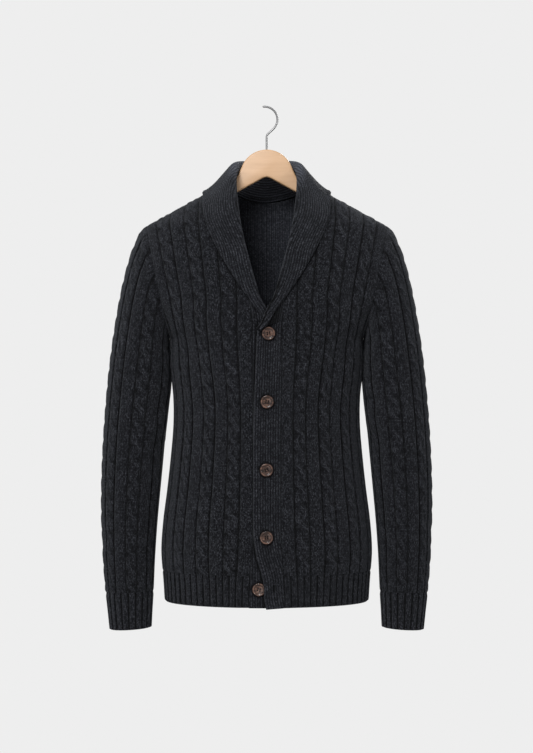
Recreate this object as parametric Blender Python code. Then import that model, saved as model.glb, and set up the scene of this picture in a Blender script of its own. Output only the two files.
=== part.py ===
"""Shawl collar cardigan in cable and rib knit, hanging on a wooden hanger.

Metres, +Z up.  The wearer's front faces -Y, so the wearer's left is at +X.
The origin is the inner crown of the hanger's hook, where a rail bears.
The garment hangs symmetrically about the hanger's stem, at x = STEM_X.

Every piece of cloth is a wall.  Its outer face follows one smooth garment surface and carries the
knit's relief; its inner face is plain.  Lines of points run up the wales of the knit, and strips of
triangles join one line to the next.
"""

import math
from collections import namedtuple

import bmesh
import bpy
from mathutils import Vector

# ---------------------------------------------------------------- driving dimensions (metres)

STEM_X = 0.0036  # the hanger's stem and the garment's centre line, beside the hook's crown

HEM_Z = -0.8117
HEM_RIB_TOP_Z = -0.7620
ARMPIT_X, ARMPIT_Z = 0.1597, -0.3802
SHOULDER_X, SHOULDER_Z = 0.1975, -0.1954
SHOULDER_SLOPE = 0.552
ARMHOLE_HALF_DEPTH = 0.062
NECK_X = 0.0740
NECK_Z = SHOULDER_Z + (SHOULDER_X - NECK_X) * SHOULDER_SLOPE
BACK_NECK_DROP = 0.0235
NECK_SCOOP = 0.030  # bends the front neckline forward from the neck point
V_POINT_Z = -0.3550

SEAM_GAP = 0.0003
WALL = 0.0022  # cloth under the relief
RIDGE = 0.0016  # a plain wale panel stands this far above the purl ditch beside it
CABLE_CREST, CABLE_DIP = 0.0026, 0.0008  # heights of a cable's lobes above the ditch
DITCH_HALF = 0.0012
CABLE_PITCH = 0.042  # one crossing

BAND_LAP = 0.00220  # half the step between the lapped bands
COLUMN_PITCH = 0.107  # knit columns, as a share of a quarter of the body's girth
FIRST_COLUMN = 0.075
ARMHOLE_COLUMNS = 6  # whole columns that pass the armhole on their way to the shoulder
CHEST_SPREAD = 0.045  # how far the chest pushes the columns outwards
GIRTH_RATIO = 0.64  # depth to width of the body's rings
SEAM_HEIGHT = 0.0010  # the relief is pinched to this height along seams
CHORD_ERROR = 0.0006

BUTTON_RADIUS, BUTTON_THICK = 0.0107, 0.0034
WIRE_RADIUS = 0.0017
HOOK_RADIUS = 0.0213
HANGER_HALF_THICK = 0.0060
HANGER_TOP_Z = -0.0695
HANGER_NOTCH_Z = -0.1135
HANGER_HALF_LENGTH = 0.180
HANGER_SLOPE = 0.545  # of the arms' lower edge
HANGER_DROP = 0.0054  # the arm's top edge under the shoulder line

# ---------------------------------------------------------------- tables of sections

BodyRow = namedtuple("BodyRow", "z half_width front back")
BODY = (
    BodyRow(-0.8117, 0.1676, 0.1040, 0.0950),
    BodyRow(-0.7795, 0.1696, 0.1050, 0.0960),
    BodyRow(-0.7300, 0.1732, 0.1060, 0.0965),
    BodyRow(-0.6805, 0.1700, 0.1040, 0.0940),
    BodyRow(-0.6310, 0.1637, 0.1015, 0.0910),
    BodyRow(-0.5815, 0.1582, 0.0995, 0.0890),
    BodyRow(-0.5320, 0.1538, 0.0985, 0.0880),
    BodyRow(-0.4990, 0.1529, 0.0985, 0.0885),
    BodyRow(-0.4660, 0.1537, 0.1000, 0.0900),
    BodyRow(-0.4165, 0.1566, 0.1045, 0.0940),
    BodyRow(-0.3802, 0.1597, 0.1070, 0.0970),
    BodyRow(-0.3300, 0.1700, 0.1065, 0.0995),
    BodyRow(-0.2500, 0.1860, 0.0990, 0.0960),
    BodyRow(-0.1954, 0.1975, 0.0880, 0.0850),
    BodyRow(-0.1600, 0.1335, 0.0740, 0.0750),
    BodyRow(-0.1272, 0.0740, 0.0560, 0.0620),
)

SleeveRow = namedtuple("SleeveRow", "outer_x outer_z inner_x inner_z half_depth")
SLEEVE = (
    SleeveRow(0.1975, -0.1954, 0.1597, -0.3802, 0.0620),
    SleeveRow(0.2065, -0.2030, 0.1606, -0.3855, 0.0615),
    SleeveRow(0.2140, -0.2185, 0.1604, -0.3910, 0.0605),
    SleeveRow(0.2225, -0.2385, 0.1596, -0.3975, 0.0595),
    SleeveRow(0.2305, -0.2650, 0.1586, -0.4060, 0.0580),
    SleeveRow(0.2386, -0.2985, 0.1578, -0.4170, 0.0565),
    SleeveRow(0.2461, -0.3375, 0.1572, -0.4310, 0.0550),
    SleeveRow(0.2534, -0.3835, 0.1574, -0.4490, 0.0535),
    SleeveRow(0.2600, -0.4360, 0.1588, -0.4740, 0.0520),
    SleeveRow(0.2652, -0.4910, 0.1632, -0.5080, 0.0505),
    SleeveRow(0.2692, -0.5480, 0.1684, -0.5540, 0.0485),
    SleeveRow(0.2720, -0.6140, 0.1742, -0.6140, 0.0455),
    SleeveRow(0.2722, -0.6800, 0.1802, -0.6780, 0.0420),
    SleeveRow(0.2697, -0.7400, 0.1843, -0.7370, 0.0380),
    SleeveRow(0.2651, -0.7990, 0.1870, -0.7960, 0.0340),
    SleeveRow(0.2618, -0.8300, 0.1889, -0.8270, 0.0310),
    SleeveRow(0.2587, -0.8600, 0.1903, -0.8560, 0.0290),
)
CUFF_SECTION = 14  # the row of SLEEVE where the cuff's rib begins

# The button bands, from the hem up.  free_x is the free edge, on the far side of the centre line.
BandRow = namedtuple("BandRow", "z seam_x free_x")
BANDS = (
    BandRow(-0.8117, 0.0285, -0.0011),
    BandRow(-0.7980, 0.0284, -0.0038),
    BandRow(-0.7800, 0.0276, -0.0046),
    BandRow(-0.7600, 0.0262, -0.0078),
    BandRow(-0.7300, 0.0238, -0.0165),
    BandRow(-0.6900, 0.0218, -0.0215),
    BandRow(-0.6100, 0.0216, -0.0218),
    BandRow(-0.5300, 0.0219, -0.0202),
    BandRow(-0.4490, 0.0226, -0.0170),
    BandRow(-0.3780, 0.0235, -0.0140),
    BandRow(-0.3550, 0.0237, -0.0130),
)

# Stations along half the collar, from the lapel's tip to the back of the neck.  seam is a place on
# the neckline (see neck_point); lap parts the lapels where one crosses the other; fold is the radius
# of the fold's centre line; steps is how many sections there are up to the next row.
CollarRow = namedtuple(
    "CollarRow", "seam roll_x roll_y roll_z edge_x edge_z edge_side lap fold steps"
)
COLLAR = (
    CollarRow(-0.2278, -0.0120, -0.1081, -0.3680, -0.0078, -0.3690, "front", 0.0034, 0.0017, 2),
    CollarRow(-0.2120, -0.0075, -0.1081, -0.3567, 0.0016, -0.3615, "front", 0.0034, 0.0017, 2),
    CollarRow(-0.1940, -0.0011, -0.1081, -0.3344, 0.0110, -0.3440, "front", 0.0034, 0.0017, 2),
    CollarRow(-0.1730, 0.0085, -0.1081, -0.3184, 0.0270, -0.3215, "front", 0.0024, 0.0019, 2),
    CollarRow(-0.1480, 0.0180, -0.1070, -0.2913, 0.0430, -0.2990, "front", 0.0008, 0.0022, 1),
    CollarRow(-0.1220, 0.0260, -0.1045, -0.2657, 0.0590, -0.2740, "front", 0.0, 0.0026, 1),
    CollarRow(-0.0950, 0.0330, -0.1010, -0.2400, 0.0775, -0.2418, "front", 0.0, 0.0028, 1),
    CollarRow(-0.0680, 0.0405, -0.0930, -0.2070, 0.0925, -0.2110, "front", 0.0, 0.0030, 2),
    CollarRow(-0.0400, 0.0464, -0.0780, -0.1640, 0.1035, -0.1800, "front", 0.0, 0.0030, 2),
    CollarRow(-0.0150, 0.0490, -0.0480, -0.1200, 0.1080, -0.1570, "front", 0.0, 0.0030, 2),
    CollarRow(0.0000, 0.0475, -0.0050, -0.0945, 0.1070, -0.1480, "front", 0.0, 0.0030, 4),
    CollarRow(0.0180, 0.0400, 0.0330, -0.0905, 0.0960, -0.1560, "back", 0.0, 0.0030, 2),
    CollarRow(0.0420, 0.0235, 0.0540, -0.0890, 0.0600, -0.1690, "back", 0.0, 0.0030, 2),
    CollarRow(0.0740, 0.0000, 0.0600, -0.0885, 0.0000, -0.1730, "back", 0.0, 0.0030, 1),
)
COLLAR_WALL = 0.0030
COLLAR_GAP = 0.0022  # at the neck seam
COLLAR_LIFT = 0.0043  # the collar's centre line above the cloth it lies on
COLLAR_BULGE = 0.0050

ButtonRow = namedtuple("ButtonRow", "name x z band")
BUTTONS = (
    ButtonRow("button_1", 0.0029, -0.3750, "left"),
    ButtonRow("button_2", 0.0007, -0.4840, "left"),
    ButtonRow("button_3", -0.0003, -0.5929, "left"),
    ButtonRow("button_4", -0.0003, -0.7004, "left"),
    ButtonRow("button_5", -0.0158, -0.7834, "right"),
)
BUTTONHOLE_X, BUTTONHOLE_Z = 0.0119, -0.7821
BUTTONHOLE_HALF_WIDTH, BUTTONHOLE_HALF_HEIGHT = 0.0011, 0.0065

# ---------------------------------------------------------------- small tools


def smoothstep(low, high, value):
    share = min(1.0, max(0.0, (value - low) / (high - low)))
    return share * share * (3 - 2 * share)


def catmull(values, place):
    """A smooth curve through numbers or vectors, at a place counted in steps from the first."""
    last = len(values) - 1
    index = min(last - 1, max(0, int(math.floor(place))))
    u = place - index
    before = values[max(0, index - 1)]
    here, there = values[index], values[index + 1]
    after = values[min(last, index + 2)]
    rise, fall = (there - before) * 0.5, (after - here) * 0.5
    return (
        here * (2 * u**3 - 3 * u**2 + 1)
        + rise * (u**3 - 2 * u**2 + u)
        + there * (3 * u**2 - 2 * u**3)
        + fall * (u**3 - u**2)
    )


def by_height(rows, column, z):
    """A column of a table as a smooth function of height: a cubic through rows at uneven heights."""
    heights = [row.z for row in rows]
    z = min(heights[-1], max(heights[0], z))
    index = 0
    while index < len(rows) - 2 and z > heights[index + 1]:
        index += 1
    values = [getattr(row, column) for row in rows]

    def slope(i):
        low, high = max(0, i - 1), min(len(rows) - 1, i + 1)
        return (values[high] - values[low]) / (heights[high] - heights[low])

    span = heights[index + 1] - heights[index]
    u = (z - heights[index]) / span
    return (
        values[index] * (2 * u**3 - 3 * u**2 + 1)
        + slope(index) * span * (u**3 - 2 * u**2 + u)
        + values[index + 1] * (3 * u**2 - 2 * u**3)
        + slope(index + 1) * span * (u**3 - u**2)
    )


def girth_angles(steps=400):
    """Angles at even distances round a quarter of an ellipse of GIRTH_RATIO."""
    lengths = [0.0]
    for i in range(steps):
        angle = (i + 0.5) / steps * math.pi / 2
        lengths.append(
            lengths[-1] + math.hypot(math.cos(angle), GIRTH_RATIO * math.sin(angle))
        )
    return [length / lengths[-1] for length in lengths]


GIRTH = girth_angles()


def girth_sine(share):
    """How far out, as a share of the half width, a wale lies at this share of the quarter girth."""
    share = min(1.0, max(0.0, share))
    index = 0
    while index < len(GIRTH) - 2 and GIRTH[index + 1] < share:
        index += 1
    part = (share - GIRTH[index]) / (GIRTH[index + 1] - GIRTH[index])
    return math.sin((index + part) / (len(GIRTH) - 1) * math.pi / 2)


def girth_share(sine):
    """The inverse of girth_sine."""
    place = math.asin(min(1.0, sine)) / (math.pi / 2) * (len(GIRTH) - 1)
    index = min(len(GIRTH) - 2, int(place))
    return GIRTH[index] + (place - index) * (GIRTH[index + 1] - GIRTH[index])


# ---------------------------------------------------------------- the garment's body surface


def edge_x(z):
    """Half width of a panel: the side seam, then the armhole, then the shoulder point's width."""
    if z <= ARMPIT_Z:
        return by_height(BODY, "half_width", z)
    share = min(1.0, (z - ARMPIT_Z) / (SHOULDER_Z - ARMPIT_Z))
    return ARMPIT_X + share * (SHOULDER_X - ARMPIT_X)


def ring_width(z, side):
    """Half width of the full ring that a panel lies on.  It is wider than the panel at the armhole."""
    if z <= ARMPIT_Z:
        return edge_x(z)
    if z >= SHOULDER_Z:
        return SHOULDER_X - (z - SHOULDER_Z) / SHOULDER_SLOPE
    middle, half = (SHOULDER_Z + ARMPIT_Z) / 2, (SHOULDER_Z - ARMPIT_Z) / 2
    reach = ARMHOLE_HALF_DEPTH**2 * (1 - ((z - middle) / half) ** 2)
    return edge_x(z) / math.sqrt(1 - reach / by_height(BODY, side, z) ** 2)


def outward(side):
    return -1.0 if side == "front" else 1.0


def surface(x, z, side):
    """(point, outward normal) of the garment's outer surface at x, z."""
    width, depth = ring_width(z, side), by_height(BODY, side, z)
    sine = min(1.0, abs(x) / width)
    y = outward(side) * depth * math.sqrt(1 - sine * sine)
    step = 0.0005
    width_rise = (ring_width(z + step, side) - ring_width(z - step, side)) / (2 * step)
    depth_rise = (
        by_height(BODY, side, z + step) - by_height(BODY, side, z - step)
    ) / (2 * step)
    normal = Vector(
        (
            x / width**2,
            y / depth**2,
            -(x**2) * width_rise / width**3 - y**2 * depth_rise / depth**3,
        )
    )
    return Vector((x, y, z)), normal.normalized()


def shoulder_z(x):
    return SHOULDER_Z + (SHOULDER_X - x) * SHOULDER_SLOPE


def band_seam_x(z):
    return by_height(BANDS, "seam_x", z)


def front_neck_x(z):
    """The V neckline's half width, from the band's seam up to the neck point."""
    share = min(1.0, max(0.0, (z - V_POINT_Z) / (NECK_Z - V_POINT_Z)))
    start = band_seam_x(V_POINT_Z)
    scoop = NECK_SCOOP * math.sqrt(1 - share) * share**4
    return start + (NECK_X - start) * share**1.3 - scoop


def back_neck_z(x):
    return NECK_Z - BACK_NECK_DROP * (1 - (x / NECK_X) ** 2)


def neck_point(place):
    """The neckline: places below 0 are heights under the neck point, places above 0 run to the back."""
    if place <= 0:
        z = NECK_Z + place
        return surface(front_neck_x(z), z, "front")
    x = NECK_X - place
    return surface(x, back_neck_z(x), "back")


BAND_SHARE = girth_share(band_seam_x(-0.53) / 0.1538)
ARMHOLE_SHARE = BAND_SHARE + FIRST_COLUMN + ARMHOLE_COLUMNS * COLUMN_PITCH
ARMHOLE_MIDDLE_Z = (SHOULDER_Z + ARMPIT_Z) / 2


def wale_x(share, z):
    """Where the wale at this share of the quarter girth runs at height z.

    Above the armpit the wales keep their width, so the outermost ones end on the armhole.
    """
    chest = smoothstep(-0.500, -0.380, z) * (1 - smoothstep(-0.350, ARMHOLE_MIDDLE_Z, z))
    spread = CHEST_SPREAD * chest * math.sin(math.pi * share)
    ring = girth_sine(share + spread)
    flat = (share / ARMHOLE_SHARE) ** 0.87
    rise = smoothstep(ARMPIT_Z, ARMHOLE_MIDDLE_Z, z)
    return edge_x(z) * (ring + (flat - ring) * rise)


def front_wale_x(share, z):
    """As wale_x, but the first wale keeps to the band's seam."""
    held = 1 - smoothstep(BAND_SHARE, BAND_SHARE + 0.30, share)
    return wale_x(share, z) + (band_seam_x(z) - wale_x(BAND_SHARE, z)) * held


def neck_share(side):
    """The wale that runs to the neck point."""
    place = front_wale_x if side == "front" else wale_x
    low, high = 0.05, ARMHOLE_SHARE
    for _ in range(40):
        middle = (low + high) / 2
        if place(middle, SHOULDER_Z) < NECK_X:
            low = middle
        else:
            high = middle
    return high


def wale_top(share, side):
    """Height at which a wale ends: on the neckline, the shoulder seam or the armhole."""
    place = front_wale_x if side == "front" else wale_x
    x = place(share, SHOULDER_Z)
    if share >= 0.9999:
        return ARMPIT_Z
    if share > ARMHOLE_SHARE + 1e-6:
        low, high = ARMPIT_Z, ARMHOLE_MIDDLE_Z
        inside = lambda z: place(share, z) < edge_x(z)
    elif x >= NECK_X - 1e-6:
        return shoulder_z(x)
    elif side == "back":
        return back_neck_z(x)
    else:
        low, high = V_POINT_Z, NECK_Z
        inside = lambda z: place(share, z) > front_neck_x(z)
    for _ in range(40):
        middle = (low + high) / 2
        if inside(middle):
            low = middle
        else:
            high = middle
    return low


# ---------------------------------------------------------------- walls made of lines


class Line:
    """Points up one wale.  notch counts the points below the armhole's middle, on the line there."""

    def __init__(self, across, points, heights, notch=None):
        self.across = across
        self.points = points
        self.heights = heights
        self.notch = notch


def zip_lines(mesh, left, right, left_places, right_places):
    """Triangles between two rows of vertices, in the order of their places."""
    i = j = 0
    while i < len(left) - 1 or j < len(right) - 1:
        left_next = left_places[i + 1] if i < len(left) - 1 else math.inf
        right_next = right_places[j + 1] if j < len(right) - 1 else math.inf
        if left_next <= right_next + 1e-9:
            corners = (left[i], right[j], left[i + 1])
            i += 1
        else:
            corners = (left[i], right[j], right[j + 1])
            j += 1
        if len(set(corners)) == 3:
            mesh.faces.new(corners)


def top_path(lines, rows):
    """The upper border of a skin, and a place that grows along it: over the tops and armholes."""
    path, places = [], []
    notched = [line.across for line in lines if line.notch is not None]
    for line, row in zip(lines, rows):
        beyond = 0
        if notched and line.across > notched[-1]:
            beyond = 1
        if notched and len(notched) > 1 and line.across < notched[0]:
            beyond = -1
        rise = []
        if line.notch is not None:
            low, high = line.heights[line.notch], line.heights[-1]
            rise = [
                (row[k], (line.heights[k] - low) / (high - low))
                for k in range(line.notch, len(row) - 1)
            ]
        if line.notch is not None and line.across < 0:
            path += [vertex for vertex, _ in rise]
            places += [-10 + 5 * share for _, share in rise]
        path.append(row[-1])
        places.append(line.across + 20 * beyond)
        if line.notch is not None and line.across > 0:
            path += [vertex for vertex, _ in reversed(rise)]
            places += [10 - 5 * share for _, share in reversed(rise)]
    return path, places


def wall(name, outer, inner, material, ring=False):
    """A closed wall from outer lines and inner lines.  A ring's last line joins its first."""
    mesh = bmesh.new()
    skins = []
    for lines in (outer, inner):
        rows = [[mesh.verts.new(point) for point in line.points] for line in lines]
        pairs = list(zip(range(len(lines)), range(1, len(lines))))
        if ring:
            pairs.append((len(lines) - 1, 0))
        for a, b in pairs:
            cuts = []
            for here, there in ((a, b), (b, a)):
                notch = lines[here].notch
                outside = abs(lines[there].across) > abs(lines[here].across)
                cuts.append(notch + 1 if notch is not None and outside else None)
            zip_lines(
                mesh,
                rows[a][: cuts[0]],
                rows[b][: cuts[1]],
                lines[a].heights[: cuts[0]],
                lines[b].heights[: cuts[1]],
            )
        skins.append(rows)
    bottoms = [([row[0] for row in rows], [line.across for line in lines])
               for rows, lines in zip(skins, (outer, inner))]
    tops = [top_path(lines, rows) for rows, lines in zip(skins, (outer, inner))]
    for rims in (bottoms, tops):
        if ring:
            rims = [(rim + rim[:1], places + [places[0] + 1.0]) for rim, places in rims]
        zip_lines(mesh, rims[0][0], rims[1][0], rims[0][1], rims[1][1])
    if not ring:
        for end in (0, -1):
            zip_lines(
                mesh, skins[0][end], skins[1][end], outer[end].heights, inner[end].heights
            )
    bmesh.ops.recalc_face_normals(mesh, faces=mesh.faces)
    data = bpy.data.meshes.new(name)
    mesh.to_mesh(data)
    mesh.free()
    data.shade_smooth()
    data.set_sharp_from_angle(angle=math.radians(50))
    return placed(name, data, material)


def placed(name, data, material):
    obj = bpy.data.objects.new(name, data)
    bpy.context.collection.objects.link(obj)
    obj.parent = AXIS
    if not obj.data.materials:
        obj.data.materials.append(material)
    return obj


def sparse_stops(stops, curve_at):
    """The fewest of these stops whose chords stay within CHORD_ERROR of the curve."""
    points = [curve_at(stop) for stop in stops]
    kept, start = [0], 0
    while start < len(stops) - 1:
        end = start + 1
        for candidate in range(start + 2, min(len(stops), start + 5)):
            chord = points[candidate] - points[start]
            errors = [
                (points[k] - points[start]).cross(chord).length / chord.length
                for k in range(start + 1, candidate)
            ]
            if max(errors) > CHORD_ERROR:
                break
            end = candidate
        kept.append(end)
        start = end
    return [stops[k] for k in kept]


def cut_line(curve, heights, sparse, notch_z=None):
    """(heights, distances) of a line's rows, one each half crossing.  Sparse lines have fewer."""
    lengths = [0.0]
    for a, b in zip(curve, curve[1:]):
        lengths.append(lengths[-1] + (b - a).length)
    total = lengths[-1]

    def between(places, values, place):
        index = 0
        while index < len(places) - 2 and places[index + 1] < place:
            index += 1
        part = (place - places[index]) / max(1e-9, places[index + 1] - places[index])
        part = min(1.0, max(0.0, part))
        return values[index] + (values[index + 1] - values[index]) * part

    half = CABLE_PITCH / 2
    stops = [i * half for i in range(int(total / half) + 1) if total - i * half > 0.013]
    stops += [total - 0.007, total]
    middle = None
    if notch_z is not None:
        middle = between(heights, lengths, notch_z)
        near = min(stops, key=lambda stop: abs(stop - middle))
        stops[stops.index(near)] = middle
    if sparse:
        parts = [stops]
        if middle is not None:
            k = stops.index(middle)
            parts = [stops[: k + 1], stops[k:]]
        kept = []
        for part in parts:
            kept += sparse_stops(part, lambda stop: between(lengths, curve, stop))
        stops = sorted(set(kept))
    notch = stops.index(middle) if middle is not None else None
    return [between(lengths, heights, stop) for stop in stops], stops, notch


def knit_height(kind, stop, place):
    """Relief above the ditch.  kind is ditch, plain or cable; place is 0 or 1 across a cable."""
    if kind == "ditch":
        return 0.0
    if kind == "plain":
        return RIDGE
    crest = (round(stop / (CABLE_PITCH / 2)) + place) % 2 == 0
    return CABLE_CREST if crest else CABLE_DIP


# Where lines stand inside one column: a share of its width, and whether rows there are sparse.
ColumnLine = namedtuple("ColumnLine", "share kind place sparse")
PLAIN_COLUMN = (
    ColumnLine(0.0, "ditch", 0, True),
    ColumnLine(0.16, "plain", 0, True),
    ColumnLine(0.84, "plain", 1, True),
)
CABLE_COLUMN = (
    ColumnLine(0.0, "ditch", 0, True),
    ColumnLine(0.27, "cable", 0, False),
    ColumnLine(0.73, "cable", 1, False),
)


def column_lines(edges, kinds, split=0):
    """[(share of girth, kind, place, sparse)] for columns of these kinds between these edges.

    The first columns can be split by one more line each, to follow a slanting neckline.
    """
    lines = []
    for i, (low, high, kind) in enumerate(zip(edges, edges[1:], kinds)):
        for line in PLAIN_COLUMN if kind == "plain" else CABLE_COLUMN:
            if i < split and line.share > 0.5:
                lines.append((low + 0.5 * (high - low), "plain", 0, True))
            lines.append((low + line.share * (high - low), *line[1:]))
    lines.append((edges[-1], "ditch", 0, True))
    return lines


# ---------------------------------------------------------------- fronts and back


def front_columns():
    """Edges and kinds of a front's columns, from the band's seam to the side seam."""
    edges = [BAND_SHARE, BAND_SHARE + FIRST_COLUMN]
    while edges[-1] + COLUMN_PITCH < 0.985:
        edges.append(edges[-1] + COLUMN_PITCH)
    edges.append(1.0)
    return edges, ["plain" if i % 2 == 0 else "cable" for i in range(len(edges) - 1)]


def back_columns():
    """Columns of the whole back, from -1 at one side seam to 1 at the other."""
    half = [ARMHOLE_SHARE * (i + 0.5) / 7.5 for i in range(9)]
    edges = [-1.0] + [-e for e in reversed(half)] + half + [1.0]
    return edges, ["plain" if i % 2 == 0 else "cable" for i in range(len(edges) - 1)]


def lap_offset(x, hand):
    """The wearer's left front lies over the right one, most at the band."""
    share = 1 - smoothstep(0.024, 0.052, abs(x))
    return (1 if hand > 0 else -1) * BAND_LAP * share


def trimmed(point, side, share, at_top):
    """A point on a seam, moved to stand half a seam's gap clear of it."""
    turn = 1 if point.x > 0 else -1
    if abs(share) > 0.999 or (at_top and abs(point.x) >= NECK_X - 0.003
                              and abs(share) < ARMHOLE_SHARE + 1e-6):
        point.y = outward(side) * SEAM_GAP / 2
    if abs(share) >= ARMHOLE_SHARE - 1e-6 and point.z > ARMPIT_Z - 0.003:
        slope = (SHOULDER_X - ARMPIT_X) / (SHOULDER_Z - ARMPIT_Z)
        plane = ARMPIT_X + (point.z - ARMPIT_Z) * slope - SEAM_GAP / 2
        square = smoothstep(0.015, 0.040, abs(point.y))
        if point.z > ARMHOLE_MIDDLE_Z:
            square = 1.0
        if at_top or abs(share) < ARMHOLE_SHARE + 1e-6 and point.z > ARMHOLE_MIDDLE_Z - 0.004:
            point.x += (turn * plane - point.x) * square
    return point


def seam_height(z):
    """Height of the pinched relief on a seam.  It stays full where two walls fold at the armpit."""
    return SEAM_HEIGHT + (RIDGE - SEAM_HEIGHT) * (1 - smoothstep(ARMPIT_Z, ARMPIT_Z + 0.02, z))


def wale_point(share, z, side, hand, height, depth, at_top=False):
    """A point of the outer or inner face on one wale; hand is 1 at the wearer's left."""
    if side == "front":
        x = hand * front_wale_x(abs(share), z)
    else:
        x = math.copysign(wale_x(abs(share), z), share)
    on_armhole = abs(abs(share) - ARMHOLE_SHARE) < 1e-6 and z >= ARMHOLE_MIDDLE_Z - 1e-6
    if at_top or on_armhole:
        height = seam_height(z)
    point, normal = surface(x, z, side)
    lap = lap_offset(x, hand) if side == "front" else 0.0
    moved = point + normal * (lap - RIDGE + height - depth)
    return trimmed(moved, side, share, at_top)


def wale_line(share, kind, place, sparse, side, hand, bottom, depth):
    """One line from the bottom to the wale's own end."""
    end = wale_top(abs(share), side)
    samples = 90
    heights = [
        bottom + (end - bottom) * (1 - (1 - i / samples) ** 2) for i in range(samples + 1)
    ]
    curve = [wale_point(share, z, side, hand, 0.0, 0.0) for z in heights]
    on_notch = abs(abs(share) - ARMHOLE_SHARE) < 1e-6
    notch_z = ARMHOLE_MIDDLE_Z if on_notch else None
    rows, stops, notch = cut_line(curve, heights, sparse, notch_z)
    points = []
    for i, (z, stop) in enumerate(zip(rows, stops)):
        height = knit_height(kind, stop, place)
        points.append(
            wale_point(share, z, side, hand, height, depth, at_top=i == len(rows) - 1)
        )
    return Line(share, points, rows, notch)


def through_neck_point(shares, side):
    """These shares with the nearest one to each neck point moved on to it."""
    shares = list(shares)
    for turn in (-1, 1):
        goal = turn * neck_share(side)
        near = min(range(len(shares)), key=lambda k: abs(shares[k] - goal))
        if abs(shares[near] - goal) < COLUMN_PITCH:
            shares[near] = goal
    return shares


def panel(name, columns, side, hand, bottom):
    """A front or the back above its hem rib."""
    edges, kinds = columns
    lines = column_lines(edges, kinds, split=2 if side == "front" else 0)
    shares = through_neck_point([line[0] for line in lines], side)
    if side == "front":
        k = shares.index(neck_share(side))
        shares.insert(k, (shares[k - 1] + shares[k]) / 2)
        lines.insert(k, (None, "plain", 0, True))
    outer = [
        wale_line(share, *line[1:], side, hand, bottom, 0.0)
        for share, line in zip(shares, lines)
    ]
    neck = neck_share(side) + 1e-6
    inner = [
        wale_line(share, "ditch", 0, True, side, hand, bottom, WALL)
        for share, line in zip(shares, lines)
        if line[1] == "ditch" or not neck < abs(share) < ARMHOLE_SHARE
    ]
    return wall(name, outer, inner, KNIT)


def rib_lines(low, high, ribs, plain):
    """[(share, height)] across ribs between two shares of the girth, or of the plain inner face."""
    if plain:
        return [(low + (high - low) * i / ribs, 0.0) for i in range(ribs + 1)]
    lines = []
    for i in range(ribs):
        for part, height in ((0.0, 0.0), (0.28, RIDGE), (0.72, RIDGE)):
            lines.append((low + (high - low) * (i + part) / ribs, height))
    return lines + [(high, 0.0)]


def hem_rib(name, low, high, ribs, side, hand):
    """The ribbed hem under a front or the back."""
    levels = [HEM_Z, HEM_Z + 0.003, HEM_RIB_TOP_Z - SEAM_GAP]
    skins = []
    for plain in (False, True):
        lines = []
        for share, height in rib_lines(low, high, ribs, plain):
            points = []
            for z in levels:
                tuck = 0.0012 if z == HEM_Z and not plain else 0.0
                points.append(
                    wale_point(share, z, side, hand, height, tuck + WALL * plain)
                )
            lines.append(Line(share, points, levels))
        skins.append(lines)
    return wall(name, skins[0], skins[1], KNIT)


# ---------------------------------------------------------------- button bands


def band_x(part, z, hand):
    """Across a band, from its free edge at part 0 to its seam at part 1."""
    free_x = by_height(BANDS, "free_x", z) if hand > 0 else -0.0190
    return hand * (free_x + (band_seam_x(z) - SEAM_GAP * 2 - free_x) * part)


def band_top_z(x, hand):
    """The bands end on a slant, where the lapels take over."""
    across = (0.0228 - hand * x) / 0.0352
    return V_POINT_Z - 0.0009 - across * (0.0128 if hand > 0 else 0.0022)


def band(name, hand):
    across_steps, rows = 4, 12
    common = -0.3790
    levels = [HEM_Z + (common - HEM_Z) * j / rows for j in range(rows + 1)]
    skins = []
    for depth in (0.0, WALL + RIDGE):
        lines = []
        for i in range(across_steps + 1):
            part = i / across_steps
            top = band_top_z(band_x(part, common, hand), hand)
            points = []
            for z in levels + [top]:
                point, normal = surface(band_x(part, z, hand), z, "front")
                rounding = 0.0008 if i in (0, across_steps) and depth == 0 else 0.0
                points.append(point + normal * (hand * BAND_LAP - depth - rounding))
            lines.append(Line(part, points, levels + [top]))
        skins.append(lines)
    return wall(name, skins[0], skins[1], BAND_KNIT)


# ---------------------------------------------------------------- sleeves and cuffs


def sleeve_column(name):
    return [getattr(row, name) for row in SLEEVE]


SLEEVE_COLUMNS = {name: sleeve_column(name) for name in SleeveRow._fields}
SLEEVE_KNIT_COLUMNS = 14
SLEEVE_TURN = 17.4 / 360  # the first ditch, from the underarm towards the front


def sleeve_point(turn, place, hand):
    """(point, normal) on a sleeve: turn is 0 under the arm, 0.25 at the front, 0.5 outside."""

    def at(turn, place):
        row = {name: catmull(SLEEVE_COLUMNS[name], place) for name in SleeveRow._fields}
        angle = turn * 2 * math.pi
        x = (row["outer_x"] + row["inner_x"]) / 2
        z = (row["outer_z"] + row["inner_z"]) / 2
        x += (row["inner_x"] - row["outer_x"]) / 2 * math.cos(angle)
        z += (row["inner_z"] - row["outer_z"]) / 2 * math.cos(angle)
        return Vector((x, -row["half_depth"] * math.sin(angle), z))

    point = at(turn, place)
    low, high = max(0.0, place - 0.02), min(len(SLEEVE) - 1.0, place + 0.02)
    around = at(turn + 0.001, place) - at(turn - 0.001, place)
    along = at(turn, high) - at(turn, low)
    normal = around.cross(along).normalized()
    centre = (at(0.0, place) + at(0.5, place)) / 2
    if normal.dot(point - centre) < 0:
        normal = -normal
    point.x += SEAM_GAP * 1.2 * (1 - smoothstep(0.0, 1.0, place))
    return Vector((hand * point.x, point.y, point.z)), Vector(
        (hand * normal.x, normal.y, normal.z)
    )


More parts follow.
